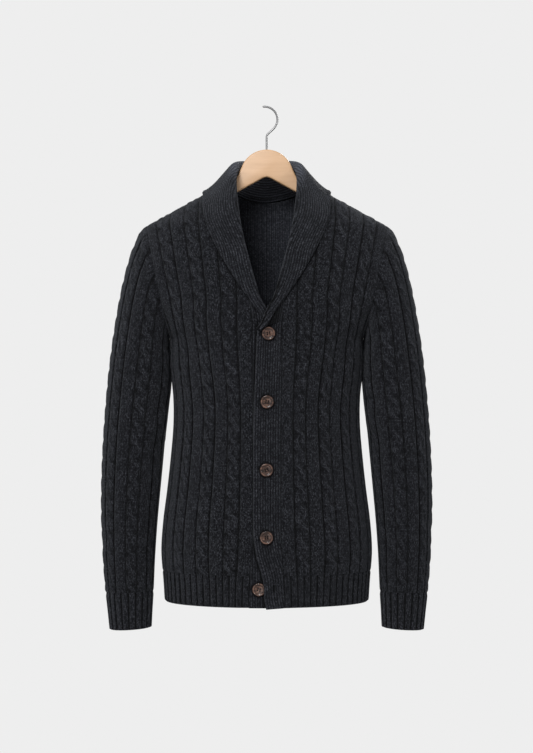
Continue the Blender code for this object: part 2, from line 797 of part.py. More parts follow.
def squared(point, turn, hand):
    """A point of the sleeve's first ring, moved on to the armhole's plane as the panels are."""
    slope = (SHOULDER_X - ARMPIT_X) / (SHOULDER_Z - ARMPIT_Z)
    plane = ARMPIT_X + (point.z - ARMPIT_Z) * slope + SEAM_GAP / 2
    square = 1.0
    if point.z < ARMHOLE_MIDDLE_Z:
        square = smoothstep(0.015, 0.040, abs(point.y))
    point.x += (hand * plane - point.x) * square
    return point


def sleeve_line(turn, kind, place, sparse, hand, depth):
    """One wale of a sleeve, from the cuff's rib up to the armhole."""
    samples = 90
    cuff = CUFF_SECTION - 0.005
    places = [cuff * (1 - i / samples) for i in range(samples + 1)]
    curve = [sleeve_point(turn, p, hand)[0] for p in places]
    rows, stops, _ = cut_line(curve, places, sparse)
    points = []
    for row, stop in zip(rows, stops):
        point, normal = sleeve_point(turn, row, hand)
        height = seam_height(point.z) if row == rows[-1] else knit_height(kind, stop, place)
        point += normal * (height - RIDGE - depth)
        points.append(squared(point, turn, hand) if row == rows[-1] else point)
    return Line(turn, points, [-row for row in rows])


def sleeve(name, hand):
    pitch = 1.0 / SLEEVE_KNIT_COLUMNS
    edges = [SLEEVE_TURN + i * pitch for i in range(SLEEVE_KNIT_COLUMNS + 1)]
    kinds = ["cable" if i % 2 == 0 else "plain" for i in range(SLEEVE_KNIT_COLUMNS)]
    outer = [
        sleeve_line(turn, kind, place, sparse, hand, 0.0)
        for turn, kind, place, sparse in column_lines(edges, kinds)[:-1]
    ]
    inner = [sleeve_line(turn, "ditch", 0, True, hand, WALL) for turn in edges[:-1]]
    return wall(name, outer, inner, KNIT, ring=True)


def cuff(name, hand, ribs=20):
    places = [CUFF_SECTION + 0.005, len(SLEEVE) - 1.12, len(SLEEVE) - 1.0]
    skins = []
    for plain in (False, True):
        lines = []
        for share, height in rib_lines(0.0, 1.0, ribs, plain)[:-1]:
            points = []
            for place in places:
                point, normal = sleeve_point(share, place, hand)
                tuck = 0.0012 if place == places[-1] and not plain else 0.0
                points.append(point + normal * (height - RIDGE - tuck - WALL * plain))
            lines.append(Line(share, points, places))
        skins.append(lines)
    return wall(name, skins[0], skins[1], KNIT, ring=True)


# ---------------------------------------------------------------- shawl collar


def clearance(point):
    """(distance, outward normal) of a point from the garment's outer surface, near it."""
    side = "front" if point.y < 0 else "back"
    z = min(point.z, NECK_Z + 0.010)

    def level(x, y, z):
        return (x / ring_width(z, side)) ** 2 + (y / by_height(BODY, side, z)) ** 2 - 1

    step = 0.0005
    here = level(point.x, point.y, z)
    slope = Vector(
        (
            (level(point.x + step, point.y, z) - here) / step,
            (level(point.x, point.y + step, z) - here) / step,
            (here - level(point.x, point.y, z - step)) / step,
        )
    )
    return here / slope.length, slope.normalized()


def settled(point, lift, exact=False):
    """A point moved out to lie at least this far from the garment's surface, or just this far."""
    for _ in range(4):
        distance, normal = clearance(point)
        if exact or distance < lift:
            point = point + normal * (lift - distance)
    return point


def collar_lift(point, hand):
    """Least height of the collar's centre line.  The plain column beside the band needs less."""
    least = 0.0036 if hand > 0 else 0.0029
    return least + (COLLAR_LIFT - least) * smoothstep(0.022, 0.045, abs(point.x))


def collar_stations(hand):
    """(seam, roll, edge, fold radius) along half the collar, tip first."""
    rows = COLLAR if hand > 0 else (COLLAR[1]._replace(seam=COLLAR[0].seam), *COLLAR[2:])
    edges = []
    for row in rows:
        point, normal = surface(abs(row.edge_x), row.edge_z, row.edge_side)
        point.x = math.copysign(point.x, row.edge_x)
        edges.append(point)
    rolls = [Vector((row.roll_x, row.roll_y, row.roll_z)) for row in rows]
    places = []
    for i, row in enumerate(rows[:-1]):
        places += [i + k / row.steps for k in range(row.steps)]
    places.append(len(rows) - 1)
    stations = []
    for place in places:
        along = catmull([row.seam for row in rows], place)
        seam, normal = neck_point(along)
        roll = catmull(rolls, place)
        edge = catmull(edges, place)
        edge = settled(edge, collar_lift(edge, hand), exact=True)
        seam += normal * (lap_offset(seam.x, hand) - (RIDGE + WALL) / 2)
        inwards = roll - seam
        gap = COLLAR_GAP * (0.45 + 0.55 * smoothstep(-0.190, -0.130, along))
        seam += (inwards - normal * inwards.dot(normal)).normalized() * gap
        apart = catmull([row.lap for row in rows], place) * (1.35 if hand > 0 else 1.0)
        lap = Vector((0.0, -hand * apart, 0.0))
        fold = catmull([row.fold for row in rows], place)
        stations.append([seam, roll + lap, edge, fold, hand * apart])
    if hand < 0:
        for station in stations:
            for vector in station[:3]:
                vector.x = -vector.x
    return stations


def collar_profile(seam, roll, edge, fold, apart, tangent):
    """(centre line, outward normals) of one section: up the stand, round the fold, down the fall."""
    down = (seam + edge) / 2 - roll
    down = (down - tangent * down.dot(tangent)).normalized()
    over = tangent.cross(down).normalized()
    if over.dot(clearance(edge)[1]) < 0:
        over = -over
    under_fold, over_fold = roll - over * fold, roll + over * fold
    lap = Vector((0.0, -apart, 0.0))
    flat = min(1.0, abs(apart) / 0.0030)
    crossing = smoothstep(0.0041, 0.0046, apart)
    stand = seam.lerp(under_fold, 0.55 - 0.21 * crossing)
    stand += over * (under_fold - stand).dot(over) * 0.85 * (1 - flat)
    stand.y += (under_fold.y - stand.y) * crossing * 0.72
    centre = [seam, stand]
    for angle in (-90, -30, 30, 90):
        turn = math.radians(angle)
        centre.append(roll + (over * math.sin(turn) - down * math.cos(turn)) * fold)
    fall = (edge - over_fold).length
    for part in (0.33, 0.67, 1.0):
        bulge = COLLAR_BULGE * min(1.0, fall / 0.03) * (1 - flat) * math.sin(math.pi * part)
        point = (over_fold - lap).lerp(edge, part) + over * bulge
        centre.append(settled(point, collar_lift(point, 1 if apart > 0 else -1)) + lap)
    normals = []
    for i in range(len(centre)):
        along = centre[min(i + 1, len(centre) - 1)] - centre[max(i - 1, 0)]
        normals.append(tangent.cross(along).normalized())
    if normals[3].dot(-down) < 0:
        normals = [-normal for normal in normals]
    return centre, normals


def collar():
    left, right = collar_stations(1), collar_stations(-1)
    stations = right + left[-2::-1]
    outer, inner = [], []
    half = COLLAR_WALL / 2
    for i, station in enumerate(stations):
        before, after = stations[max(0, i - 1)][1], stations[min(len(stations) - 1, i + 1)][1]
        centre, normals = collar_profile(*station, (after - before).normalized())
        rows = list(range(len(centre)))
        outer.append(Line(i, [p + n * half for p, n in zip(centre, normals)], rows))
        inner.append(Line(i, [p - n * half for p, n in zip(centre, normals)], rows))
    return wall("collar", outer, inner, BAND_KNIT)


# ---------------------------------------------------------------- buttons


def turned(name, profile, steps):
    """A solid of revolution about its own Z axis from (radius, height) pairs."""
    mesh = bmesh.new()
    rings = []
    for radius, height in profile:
        if radius == 0:
            rings.append([mesh.verts.new((0, 0, height))] * steps)
            continue
        rings.append(
            [
                mesh.verts.new(
                    (
                        radius * math.cos(i / steps * 2 * math.pi),
                        radius * math.sin(i / steps * 2 * math.pi),
                        height,
                    )
                )
                for i in range(steps)
            ]
        )
    for low, high in zip(rings, rings[1:]):
        for i in range(steps):
            j = (i + 1) % steps
            corners = list(dict.fromkeys((low[i], low[j], high[j], high[i])))
            mesh.faces.new(corners)
    bmesh.ops.recalc_face_normals(mesh, faces=mesh.faces)
    data = bpy.data.meshes.new(name)
    mesh.to_mesh(data)
    mesh.free()
    data.shade_smooth()
    data.set_sharp_from_angle(angle=math.radians(40))
    return data


def button_mesh():
    """A dished button: flat back, rounded rim, and a hollow face."""
    radius, thick = BUTTON_RADIUS, BUTTON_THICK
    return turned(
        "button",
        (
            (0, 0),
            (radius * 0.80, 0),
            (radius, thick * 0.45),
            (radius * 0.90, thick),
            (radius * 0.66, thick * 0.66),
            (0, thick * 0.66),
        ),
        14,
    )


def button_holes():
    """Cutters for the four sewing holes, joined in one mesh."""
    mesh = bmesh.new()
    for x in (-1, 1):
        for y in (-1, 1):
            made = bmesh.ops.create_cone(
                mesh,
                cap_ends=True,
                segments=5,
                radius1=0.0009,
                radius2=0.0009,
                depth=0.02,
            )
            bmesh.ops.translate(
                mesh, verts=made["verts"], vec=(x * 0.0018, y * 0.0018, 0)
            )
    data = bpy.data.meshes.new("button_holes")
    mesh.to_mesh(data)
    mesh.free()
    return data


def cutter(name, data):
    obj = bpy.data.objects.new(name, data)
    bpy.context.collection.objects.link(obj)
    obj.parent = AXIS
    obj.hide_render = True
    obj.display_type = "WIRE"
    return obj


def cut(obj, tool):
    modifier = obj.modifiers.new(tool.name, "BOOLEAN")
    modifier.operation = "DIFFERENCE"
    modifier.object = tool


def buttons():
    data, holes = button_mesh(), button_holes()
    for row in BUTTONS:
        point, normal = surface(row.x, row.z, "front")
        lift = (BAND_LAP if row.band == "left" else -BAND_LAP) + SEAM_GAP
        obj = placed(row.name, data.copy(), HORN)
        tool = cutter(row.name + "_holes", holes)
        for item in (obj, tool):
            item.rotation_mode = "QUATERNION"
            item.rotation_quaternion = normal.to_track_quat("Z", "Y")
            item.location = point + normal * lift
        cut(obj, tool)


def buttonhole(owner):
    """The one buttonhole that no button covers, cut through the left band."""
    mesh = bmesh.new()
    bmesh.ops.create_cube(mesh, size=2.0)
    data = bpy.data.meshes.new("buttonhole_cutter")
    mesh.to_mesh(data)
    mesh.free()
    tool = cutter("buttonhole_cutter", data)
    for vertex in data.vertices:
        vertex.co.x *= BUTTONHOLE_HALF_WIDTH
        vertex.co.y *= 0.008
        vertex.co.z *= BUTTONHOLE_HALF_HEIGHT
    point, _ = surface(BUTTONHOLE_X, BUTTONHOLE_Z, "front")
    tool.location = point
    cut(owner, tool)


# ---------------------------------------------------------------- hanger


def hanger_outline():
    """Half of the hanger's outline, from the top of its neck round to the notch below it."""
    dome = HANGER_TOP_Z - HANGER_NOTCH_Z
    points = []
    for i in range(8):
        angle = math.radians(90 - 10 * i)
        points.append((dome * math.cos(angle), HANGER_NOTCH_Z + dome * math.sin(angle)))
    points += [(0.0470, -0.1110), (0.0570, -0.1240), (NECK_X, -0.1375)]

    def arm_top(x):
        return shoulder_z(x) - HANGER_DROP

    end = HANGER_HALF_LENGTH
    points += [(x, arm_top(x)) for x in (0.105, 0.140, end - 0.014)]
    low = HANGER_NOTCH_Z - HANGER_SLOPE * (end - 0.006)
    high = arm_top(end - 0.006)
    points += [(end - 0.005, high - 0.0035), (end, high - 0.009), (end, low + 0.006)]
    points += [(end - 0.006, low), (0.0, HANGER_NOTCH_Z)]
    return points


def hanger():
    half = hanger_outline()
    outline = half + [(-x, z) for x, z in half[-2:0:-1]]
    mesh = bmesh.new()
    front = mesh.faces.new(
        [mesh.verts.new((x, -HANGER_HALF_THICK, z)) for x, z in outline]
    )
    grown = bmesh.ops.extrude_face_region(mesh, geom=[front])
    moved = [item for item in grown["geom"] if isinstance(item, bmesh.types.BMVert)]
    bmesh.ops.translate(mesh, verts=moved, vec=(0, 2 * HANGER_HALF_THICK, 0))
    bmesh.ops.recalc_face_normals(mesh, faces=mesh.faces)
    data = bpy.data.meshes.new("hanger_body")
    mesh.to_mesh(data)
    mesh.free()
    body = placed("hanger_body", data, WOOD)
    bevel = body.modifiers.new("eased edges", "BEVEL")
    bevel.width = 0.0020
    bevel.segments = 1
    bevel.limit_method = "ANGLE"
    bevel.angle_limit = math.radians(50)
    return body


def hook_route():
    """The hook's centre line: the stem, a slanted neck and an arc over the crown."""
    centre_z = -(HOOK_RADIUS - WIRE_RADIUS)
    route = [
        Vector((STEM_X, 0, HANGER_TOP_Z + SEAM_GAP)),
        Vector((STEM_X, 0, -0.0600)),
        Vector((STEM_X, 0, -0.0500)),
        Vector((STEM_X + 0.0003, 0, -0.0468)),
        Vector((STEM_X + 0.0016, 0, -0.0440)),
        Vector((STEM_X + 0.0038, 0, -0.0418)),
    ]
    for angle in range(-50, 103, 9):
        turn = math.radians(angle)
        route.append(
            Vector(
                (HOOK_RADIUS * math.cos(turn), 0, centre_z + HOOK_RADIUS * math.sin(turn))
            )
        )
    return route


def hook():
    """The bent wire, as rings square to its route."""
    mesh = bmesh.new()
    route, sides, rings = hook_route(), 8, []
    for i, place in enumerate(route):
        along = route[min(i + 1, len(route) - 1)] - route[max(i - 1, 0)]
        across = along.normalized().cross(Vector((0, 1, 0)))
        ring = []
        for k in range(sides):
            turn = k / sides * 2 * math.pi
            spoke = across * math.cos(turn) + Vector((0, math.sin(turn), 0))
            ring.append(mesh.verts.new(place + spoke * WIRE_RADIUS))
        rings.append(ring)
    for low, high in zip(rings, rings[1:]):
        for k in range(sides):
            m = (k + 1) % sides
            mesh.faces.new((low[k], low[m], high[m], high[k]))
    mesh.faces.new(rings[0])
    mesh.faces.new(rings[-1])
    bmesh.ops.recalc_face_normals(mesh, faces=mesh.faces)
    data = bpy.data.meshes.new("hanger_hook")
    mesh.to_mesh(data)
    mesh.free()
    data.shade_smooth()
    obj = placed("hanger_hook", data, STEEL)
    obj.parent = None


# ---------------------------------------------------------------- materials and assembly


def material(name, colour, roughness, metallic=0.0):
    made = bpy.data.materials.new(name)
    made.use_nodes = True
    shader = made.node_tree.nodes["Principled BSDF"]
    shader.inputs["Base Color"].default_value = (*colour, 1.0)
    shader.inputs["Roughness"].default_value = roughness
    shader.inputs["Metallic"].default_value = metallic
    return made


def clear_scene():
    for obj in list(bpy.data.objects):
        bpy.data.objects.remove(obj)


def garment():
    for hand, word in ((1, "left"), (-1, "right")):
        panel(f"front_{word}", front_columns(), "front", hand, HEM_RIB_TOP_Z)
        hem_rib(f"hem_front_{word}", BAND_SHARE, 1.0, 17, "front", hand)
        sleeve(f"sleeve_{word}", hand)
        cuff(f"cuff_{word}", hand)
    panel("back", back_columns(), "back", 1, HEM_RIB_TOP_Z)
    hem_rib("hem_back", -1.0, 1.0, 38, "back", 1)
    band("band_right", -1)
    buttonhole(band("band_left", 1))
    collar()
    buttons()


clear_scene()
KNIT = material("charcoal cable knit", (0.020, 0.021, 0.024), 0.95)
BAND_KNIT = material("charcoal band knit", (0.023, 0.024, 0.027), 0.95)
HORN = material("brown horn", (0.105, 0.048, 0.028), 0.30)
WOOD = material("maple", (0.640, 0.390, 0.200), 0.45)
STEEL = material("steel wire", (0.30, 0.30, 0.31), 0.28, 1.0)
AXIS = bpy.data.objects.new("garment_axis", None)
bpy.context.collection.objects.link(AXIS)
AXIS.location.x = STEM_X
garment()
hanger()
hook()
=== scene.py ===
"""Looks for the shawl collar cardigan on its hanger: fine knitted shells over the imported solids.

Metres, +Z up.  The wearer's front faces -Y, so the wearer's left is at +X, and hand is 1 there
and -1 on the right.  The tables and functions below work about x = 0, and every piece is moved
to the garment's middle, x = STEM_X, at the end.

Each shell repeats the form of its solid on a finer grid.  Its outer face carries the knit's
relief; its UV map counts stitches across and courses up, and the wool material reads it.
"""

from collections import namedtuple
from functools import partialmethod
from math import copysign, cos, hypot, pi, radians, sin

import bmesh
import bpy
import numpy as np
from mathutils import Matrix, Vector

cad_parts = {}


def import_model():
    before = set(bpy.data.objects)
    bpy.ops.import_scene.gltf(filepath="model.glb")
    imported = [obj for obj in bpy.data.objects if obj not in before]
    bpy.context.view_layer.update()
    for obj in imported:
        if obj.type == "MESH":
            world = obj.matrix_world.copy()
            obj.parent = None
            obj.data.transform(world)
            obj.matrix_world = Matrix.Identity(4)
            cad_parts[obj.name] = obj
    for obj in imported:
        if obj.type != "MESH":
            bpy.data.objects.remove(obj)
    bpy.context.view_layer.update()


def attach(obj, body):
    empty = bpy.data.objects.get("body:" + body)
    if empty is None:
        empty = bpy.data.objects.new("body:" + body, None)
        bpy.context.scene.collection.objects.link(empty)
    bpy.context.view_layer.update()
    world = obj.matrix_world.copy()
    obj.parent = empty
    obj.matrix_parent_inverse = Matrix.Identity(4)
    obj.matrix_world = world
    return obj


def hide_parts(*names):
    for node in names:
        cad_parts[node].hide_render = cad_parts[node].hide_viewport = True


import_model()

# ---------------- driving dimensions (metres)

STEM_X = 0.0036

HEM_Z = -0.8117
HEM_RIB_TOP_Z = -0.7620
WAIST_Z, WAIST_X = -0.5300, 0.1538
CHEST_LOW_Z, CHEST_Z, CHEST_TOP_Z = -0.500, -0.380, -0.350
ARMPIT_X, ARMPIT_Z = 0.1597, -0.3802
SHOULDER_X, SHOULDER_Z = 0.1975, -0.1954
SHOULDER_SLOPE = 0.552
ARMHOLE_HALF_DEPTH = 0.062
MIDDLE_Z = (SHOULDER_Z + ARMPIT_Z) / 2  # of the armhole
NECK_X = 0.0740
NECK_Z = SHOULDER_Z + (SHOULDER_X - NECK_X) * SHOULDER_SLOPE
BACK_NECK_DROP = 0.0235
NECK_SCOOP = 0.030
V_POINT_Z = -0.3550

SEAM_GAP = 0.0003
BAND_TUCK = 0.0006  # how far a band's rounded edge runs in under the front beside it
WALL = 0.0022
RIDGE = 0.0016
CABLE_PITCH = 0.0296
BAND_LAP = 0.00220
LAP_FADE = 0.024, 0.052  # from the middle, where the lap of the fronts fades out
UNDER_BAND_X = -0.0190  # the under band's free edge, hidden by the over band
BAND_TOP_Z = -0.3790
LAPEL_GAP, LAPEL_X, LAPEL_WIDTH = 0.0009, 0.0228, 0.0352  # the bands end under the lapels
COLUMN_PITCH = 0.107
FIRST_COLUMN = 0.100
ARMHOLE_RUN = 0.717
CHEST_SPREAD = 0.045
GIRTH_RATIO = 0.64
SEAM_HEIGHT = 0.0015
SEAM_FADE = 0.024  # over which the relief sinks to a seam above it
UNDER_ARM_FULLNESS = 0.0009
INSIDE_PAINTED_LIGHT = 3.2  # painted light: the inner skin, in shadow, is made paler

PLAIN_RISE = 0.0022  # a plain column above the purl ditch beside it
CABLE_RISE = 0.0026  # a cable's strand above the ditch
CABLE_LIFT = 0.0006  # more where it crosses over
CABLE_SINK = 0.0015  # less where it passes under
CABLE_FLOOR = 0.0013  # the knit between the strands
COURSE = 0.0027  # one row of stitches
RIB_STITCH = 0.0041  # one wale of the fine rib
INNER_STRIDE = 4  # outer rows for each row of the plain inner skin
SHARP = 48  # degrees at which two faces of a shell meet in a hard edge

BUTTON_RADIUS, BUTTON_THICK = 0.0107, 0.0034
BUTTONHOLE_X, BUTTONHOLE_Z = 0.0119, -0.7821
BUTTONHOLE_RADIUS, BUTTONHOLE_HALF = 0.0024, 0.0042
WIRE_RADIUS = 0.0017
HOOK_RADIUS = 0.0213
HANGER_HALF_THICK = 0.0060
HANGER_TOP_Z = -0.0695
HANGER_NOTCH_Z = -0.1135
HANGER_HALF_LENGTH = 0.180
HANGER_SLOPE = 0.545
HANGER_DROP = 0.0054

TINY = 1e-6
PROBE = 0.0005  # how far off a surface is probed for its slope

# ---------------- tables of sections


def table(columns, *rows):
    """Rows of values whose columns have names."""
    row = namedtuple("Row", columns)
    return [row(*values) for values in rows]


BODY = table(
    "z half_width front back",
    (-0.8117, 0.1676, 0.1040, 0.0950),
    (-0.7795, 0.1696, 0.1050, 0.0960),
    (-0.7300, 0.1732, 0.1060, 0.0965),
    (-0.6805, 0.1700, 0.1040, 0.0940),
    (-0.6310, 0.1637, 0.1015, 0.0910),
    (-0.5815, 0.1582, 0.0995, 0.0890),
    (-0.5320, 0.1538, 0.0985, 0.0880),
    (-0.4990, 0.1529, 0.0985, 0.0885),
    (-0.4660, 0.1537, 0.1000, 0.0900),
    (-0.4165, 0.1566, 0.1045, 0.0940),
    (-0.3802, 0.1597, 0.1070, 0.0970),
    (-0.3300, 0.1700, 0.1065, 0.0995),
    (-0.2500, 0.1860, 0.0990, 0.0960),
    (-0.1954, 0.1975, 0.0880, 0.0850),
    (-0.1600, 0.1335, 0.0740, 0.0750),
    (-0.1272, 0.0740, 0.0560, 0.0620),
)
SLEEVE = table(
    "outer_x outer_z inner_x inner_z half_depth",
    (0.1975, -0.1954, 0.1597, -0.3802, 0.0620),
    (0.2065, -0.2030, 0.1606, -0.3855, 0.0615),
    (0.2140, -0.2185, 0.1604, -0.3910, 0.0605),
    (0.2225, -0.2385, 0.1596, -0.3975, 0.0595),
    (0.2305, -0.2650, 0.1586, -0.4060, 0.0580),
    (0.2386, -0.2985, 0.1578, -0.4170, 0.0565),
    (0.2461, -0.3375, 0.1572, -0.4310, 0.0550),
    (0.2534, -0.3835, 0.1574, -0.4490, 0.0535),
    (0.2600, -0.4360, 0.1588, -0.4740, 0.0520),
    (0.2652, -0.4910, 0.1632, -0.5080, 0.0505),
    (0.2692, -0.5480, 0.1684, -0.5540, 0.0485),
    (0.2720, -0.6140, 0.1742, -0.6140, 0.0455),
    (0.2722, -0.6800, 0.1802, -0.6780, 0.0420),
    (0.2697, -0.7400, 0.1843, -0.7370, 0.0380),
    (0.2651, -0.7990, 0.1870, -0.7960, 0.0340),
    (0.2618, -0.8300, 0.1889, -0.8270, 0.0310),
    (0.2587, -0.8600, 0.1903, -0.8560, 0.0290),
)
CUFF_SECTION = 14
SLEEVE_COLUMNS = 14
SLEEVE_TURN = 17.4 / 360
SLEEVE_SEAM_FADE = 0.020

BANDS = table(
    "z seam_x free_x",
    (-0.8117, 0.0285, -0.0011),
    (-0.7980, 0.0284, -0.0038),
    (-0.7800, 0.0276, -0.0046),
    (-0.7600, 0.0262, -0.0078),
    (-0.7300, 0.0238, -0.0165),
    (-0.6900, 0.0218, -0.0215),
    (-0.6100, 0.0216, -0.0218),
    (-0.5300, 0.0219, -0.0214),
    (-0.4490, 0.0226, -0.0186),
    (-0.3780, 0.0235, -0.0154),
    (-0.3550, 0.0237, -0.0130),
)
COLLAR = table(
    "seam roll_x roll_y roll_z edge_x edge_z edge_side lap fold steps",
    (-0.2278, -0.0120, -0.1081, -0.3680, -0.0078, -0.3690, "front", 0.0034, 0.0017, 2),
    (-0.2120, -0.0050, -0.1081, -0.3567, 0.0016, -0.3615, "front", 0.0034, 0.0017, 2),
    (-0.1940, 0.0040, -0.1081, -0.3344, 0.0110, -0.3440, "front", 0.0034, 0.0017, 2),
    (-0.1730, 0.0133, -0.1081, -0.3184, 0.0270, -0.3215, "front", 0.0024, 0.0019, 2),
    (-0.1480, 0.0216, -0.1070, -0.2913, 0.0430, -0.2990, "front", 0.0008, 0.0022, 1),
    (-0.1220, 0.0292, -0.1045, -0.2657, 0.0590, -0.2740, "front", 0.0, 0.0026, 1),
    (-0.0950, 0.0363, -0.1010, -0.2400, 0.0775, -0.2418, "front", 0.0, 0.0028, 1),
    (-0.0680, 0.0442, -0.0930, -0.2070, 0.0925, -0.2110, "front", 0.0, 0.0030, 2),
    (-0.0400, 0.0512, -0.0780, -0.1645, 0.1020, -0.1800, "front", 0.0, 0.0036, 2),
    (-0.0150, 0.0562, -0.0480, -0.1265, 0.1043, -0.1570, "front", 0.0, 0.0056, 2),
    (0.0000, 0.0532, -0.0050, -0.1015, 0.1030, -0.1480, "front", 0.0, 0.0064, 4),
    (0.0180, 0.0405, 0.0330, -0.0922, 0.0950, -0.1560, "back", 0.0, 0.0058, 2),
    (0.0420, 0.0235, 0.0540, -0.0895, 0.0600, -0.1690, "back", 0.0, 0.0048, 2),
    (0.0740, 0.0000, 0.0600, -0.0898, 0.0000, -0.1730, "back", 0.0, 0.0044, 1),
)
COLLAR_WALL = 0.0030
COLLAR_GAP = 0.0014
COLLAR_LIFT = 0.0034
COLLAR_BULGE = 0.0050
COLLAR_SHADOW, COLLAR_SHADOW_WIDTH = 0.75, 0.0032  # painted shadow on the cloth beside its outer edge

BUTTONS = table(
    "name x z band turn",
    ("button_1", 0.0029, -0.3750, "left", 98),
    ("button_2", 0.0007, -0.4840, "left", 82),
    ("button_3", -0.0003, -0.5929, "left", 115),
    ("button_4", -0.0003, -0.7004, "left", 93),
    ("button_5", -0.0124, -0.7834, "right", 76),
)

# ---------------- small tools, all on arrays


def smoothstep(low, high, value):
    share = np.clip((value - low) / (high - low), 0.0, 1.0)
    return share * share * (3 - 2 * share)


def bell(value, width):
    """1 at zero, and soon nothing beyond width to both sides."""
    return np.exp(-((value / width) ** 2))


def unit(vectors):
    return vectors / np.maximum(1e-12, np.linalg.norm(vectors, axis=-1, keepdims=True))


def hermite(start, rise, end, fall, u):
    """A cubic from start to end that leaves with slope rise and arrives with slope fall."""
    whole = start * (2 * u**3 - 3 * u**2 + 1) + rise * (u**3 - 2 * u**2 + u)
    return whole + end * (3 * u**2 - 2 * u**3) + fall * (u**3 - u**2)


def catmull(values, place):
    """A smooth curve through rows of numbers, at places counted in steps from the first."""
    values, place = np.asarray(values, float), np.asarray(place, float)
    last = len(values) - 1
    index = np.clip(np.floor(place).astype(int), 0, last - 1)
    u = place - index
    u = u.reshape(u.shape + (1,) * (values.ndim - 1))
    here, there = values[index], values[index + 1]
    rise = (there - values[np.maximum(0, index - 1)]) * 0.5
    fall = (values[np.minimum(last, index + 2)] - here) * 0.5
    return hermite(here, rise, there, fall, u)


def by_height(rows, column, z):
    """A column of a table as a smooth function of height."""
    heights, values = np.array([(row.z, getattr(row, column)) for row in rows]).T
    here = np.arange(len(rows))
    low, high = np.maximum(here - 1, 0), np.minimum(here + 1, len(rows) - 1)
    slopes = (values[high] - values[low]) / (heights[high] - heights[low])
    z = np.clip(z, heights[0], heights[-1])
    index = np.searchsorted(heights[1:-1], z, side="left")
    span = heights[index + 1] - heights[index]
    rise, fall = slopes[index] * span, slopes[index + 1] * span
    return hermite(values[index], rise, values[index + 1], fall, (z - heights[index]) / span)


def girth_table(steps=400):
    angles = (np.arange(steps) + 0.5) / steps * pi / 2
    lengths = np.hypot(np.cos(angles), GIRTH_RATIO * np.sin(angles))
    lengths = np.concatenate([[0.0], np.cumsum(lengths)])
    return lengths / lengths[-1]


GIRTH = girth_table()
GIRTH_ANGLES = np.linspace(0.0, pi / 2, len(GIRTH))


def girth_sine(share):
    return np.sin(np.interp(share, GIRTH, GIRTH_ANGLES))


def girth_share(sine):
    return np.interp(np.arcsin(sine), GIRTH_ANGLES, GIRTH)


# ---------------- the garment's body surface


def armhole_plane(z):
    slope = (SHOULDER_X - ARMPIT_X) / (SHOULDER_Z - ARMPIT_Z)
    return ARMPIT_X + (z - ARMPIT_Z) * slope


def edge_x(z):
    slant = armhole_plane(np.minimum(z, SHOULDER_Z))
    return np.where(z <= ARMPIT_Z, by_height(BODY, "half_width", z), slant)


def ring_width(z, side):
    """Half width of the full ring that a panel lies on.  It is wider than the panel at the armhole."""
    half = (SHOULDER_Z - ARMPIT_Z) / 2
    reach = np.maximum(0.0, ARMHOLE_HALF_DEPTH**2 * (1 - ((z - MIDDLE_Z) / half) ** 2))
    armhole = edge_x(z) / np.sqrt(1 - reach / by_height(BODY, side, z) ** 2)
    shoulder = SHOULDER_X - (z - SHOULDER_Z) / SHOULDER_SLOPE
    return np.where(z <= ARMPIT_Z, edge_x(z), np.where(z >= SHOULDER_Z, shoulder, armhole))


def outward(side):
    return -1.0 if side == "front" else 1.0


def surface(x, z, side):
    """(points, outward normals) of the garment's outer surface."""
    x, z = np.broadcast_arrays(np.asarray(x, float), np.asarray(z, float))
    width, depth = ring_width(z, side), by_height(BODY, side, z)
    sine = np.minimum(1.0, np.abs(x) / width)
    y = outward(side) * depth * np.sqrt(1 - sine * sine)
    high, low = z + PROBE, z - PROBE
    width_rise = (ring_width(high, side) - ring_width(low, side)) / (2 * PROBE)
    depth_rise = (by_height(BODY, side, high) - by_height(BODY, side, low)) / (2 * PROBE)
    lean = -(x**2) * width_rise / width**3 - y**2 * depth_rise / depth**3
    normal = np.stack([x / width**2, y / depth**2, lean], -1)
    return np.stack([x, y, z], -1), unit(normal)


def shoulder_z(x):
    return SHOULDER_Z + (SHOULDER_X - x) * SHOULDER_SLOPE


def band_seam_x(z):
    return by_height(BANDS, "seam_x", z)


def front_neck_x(z):
    share = np.clip((z - V_POINT_Z) / (NECK_Z - V_POINT_Z), 0.0, 1.0)
    start = band_seam_x(V_POINT_Z)
    scoop = NECK_SCOOP * np.sqrt(1 - share) * share**4
    return start + (NECK_X - start) * share**1.3 - scoop


def back_neck_z(x):
    return NECK_Z - BACK_NECK_DROP * (1 - (x / NECK_X) ** 2)


def neck_point(place):
    """(point, normal) on the neckline: place is below 0 on the front and above it on the back."""
    if place <= 0:
        z = NECK_Z + place
        return surface(front_neck_x(z), z, "front")
    x = NECK_X - place
    return surface(x, back_neck_z(x), "back")


# Places across a panel are shares of its half girth, from the middle to the side seam.
BAND_SHARE = float(girth_share(band_seam_x(WAIST_Z) / WAIST_X))
ARMHOLE_SHARE = BAND_SHARE + ARMHOLE_RUN


def wale_x(share, z):
    chest = smoothstep(CHEST_LOW_Z, CHEST_Z, z) * (1 - smoothstep(CHEST_TOP_Z, MIDDLE_Z, z))
    spread = CHEST_SPREAD * chest * np.sin(pi * share)
    ring = girth_sine(share + spread)
    flat = (share / ARMHOLE_SHARE) ** 0.87
    return edge_x(z) * (ring + (flat - ring) * smoothstep(ARMPIT_Z, MIDDLE_Z, z))


def front_wale_x(share, z):
    held = 1 - smoothstep(BAND_SHARE, BAND_SHARE + 0.30, share)
    return wale_x(share, z) + (band_seam_x(z) - wale_x(BAND_SHARE, z)) * held


def halved(low, high, inside):
    """Where inside turns false between low and high, for whole arrays."""
    for _ in range(40):
        middle = (low + high) / 2
        kept = inside(middle)
        low, high = np.where(kept, middle, low), np.where(kept, high, middle)
    return low


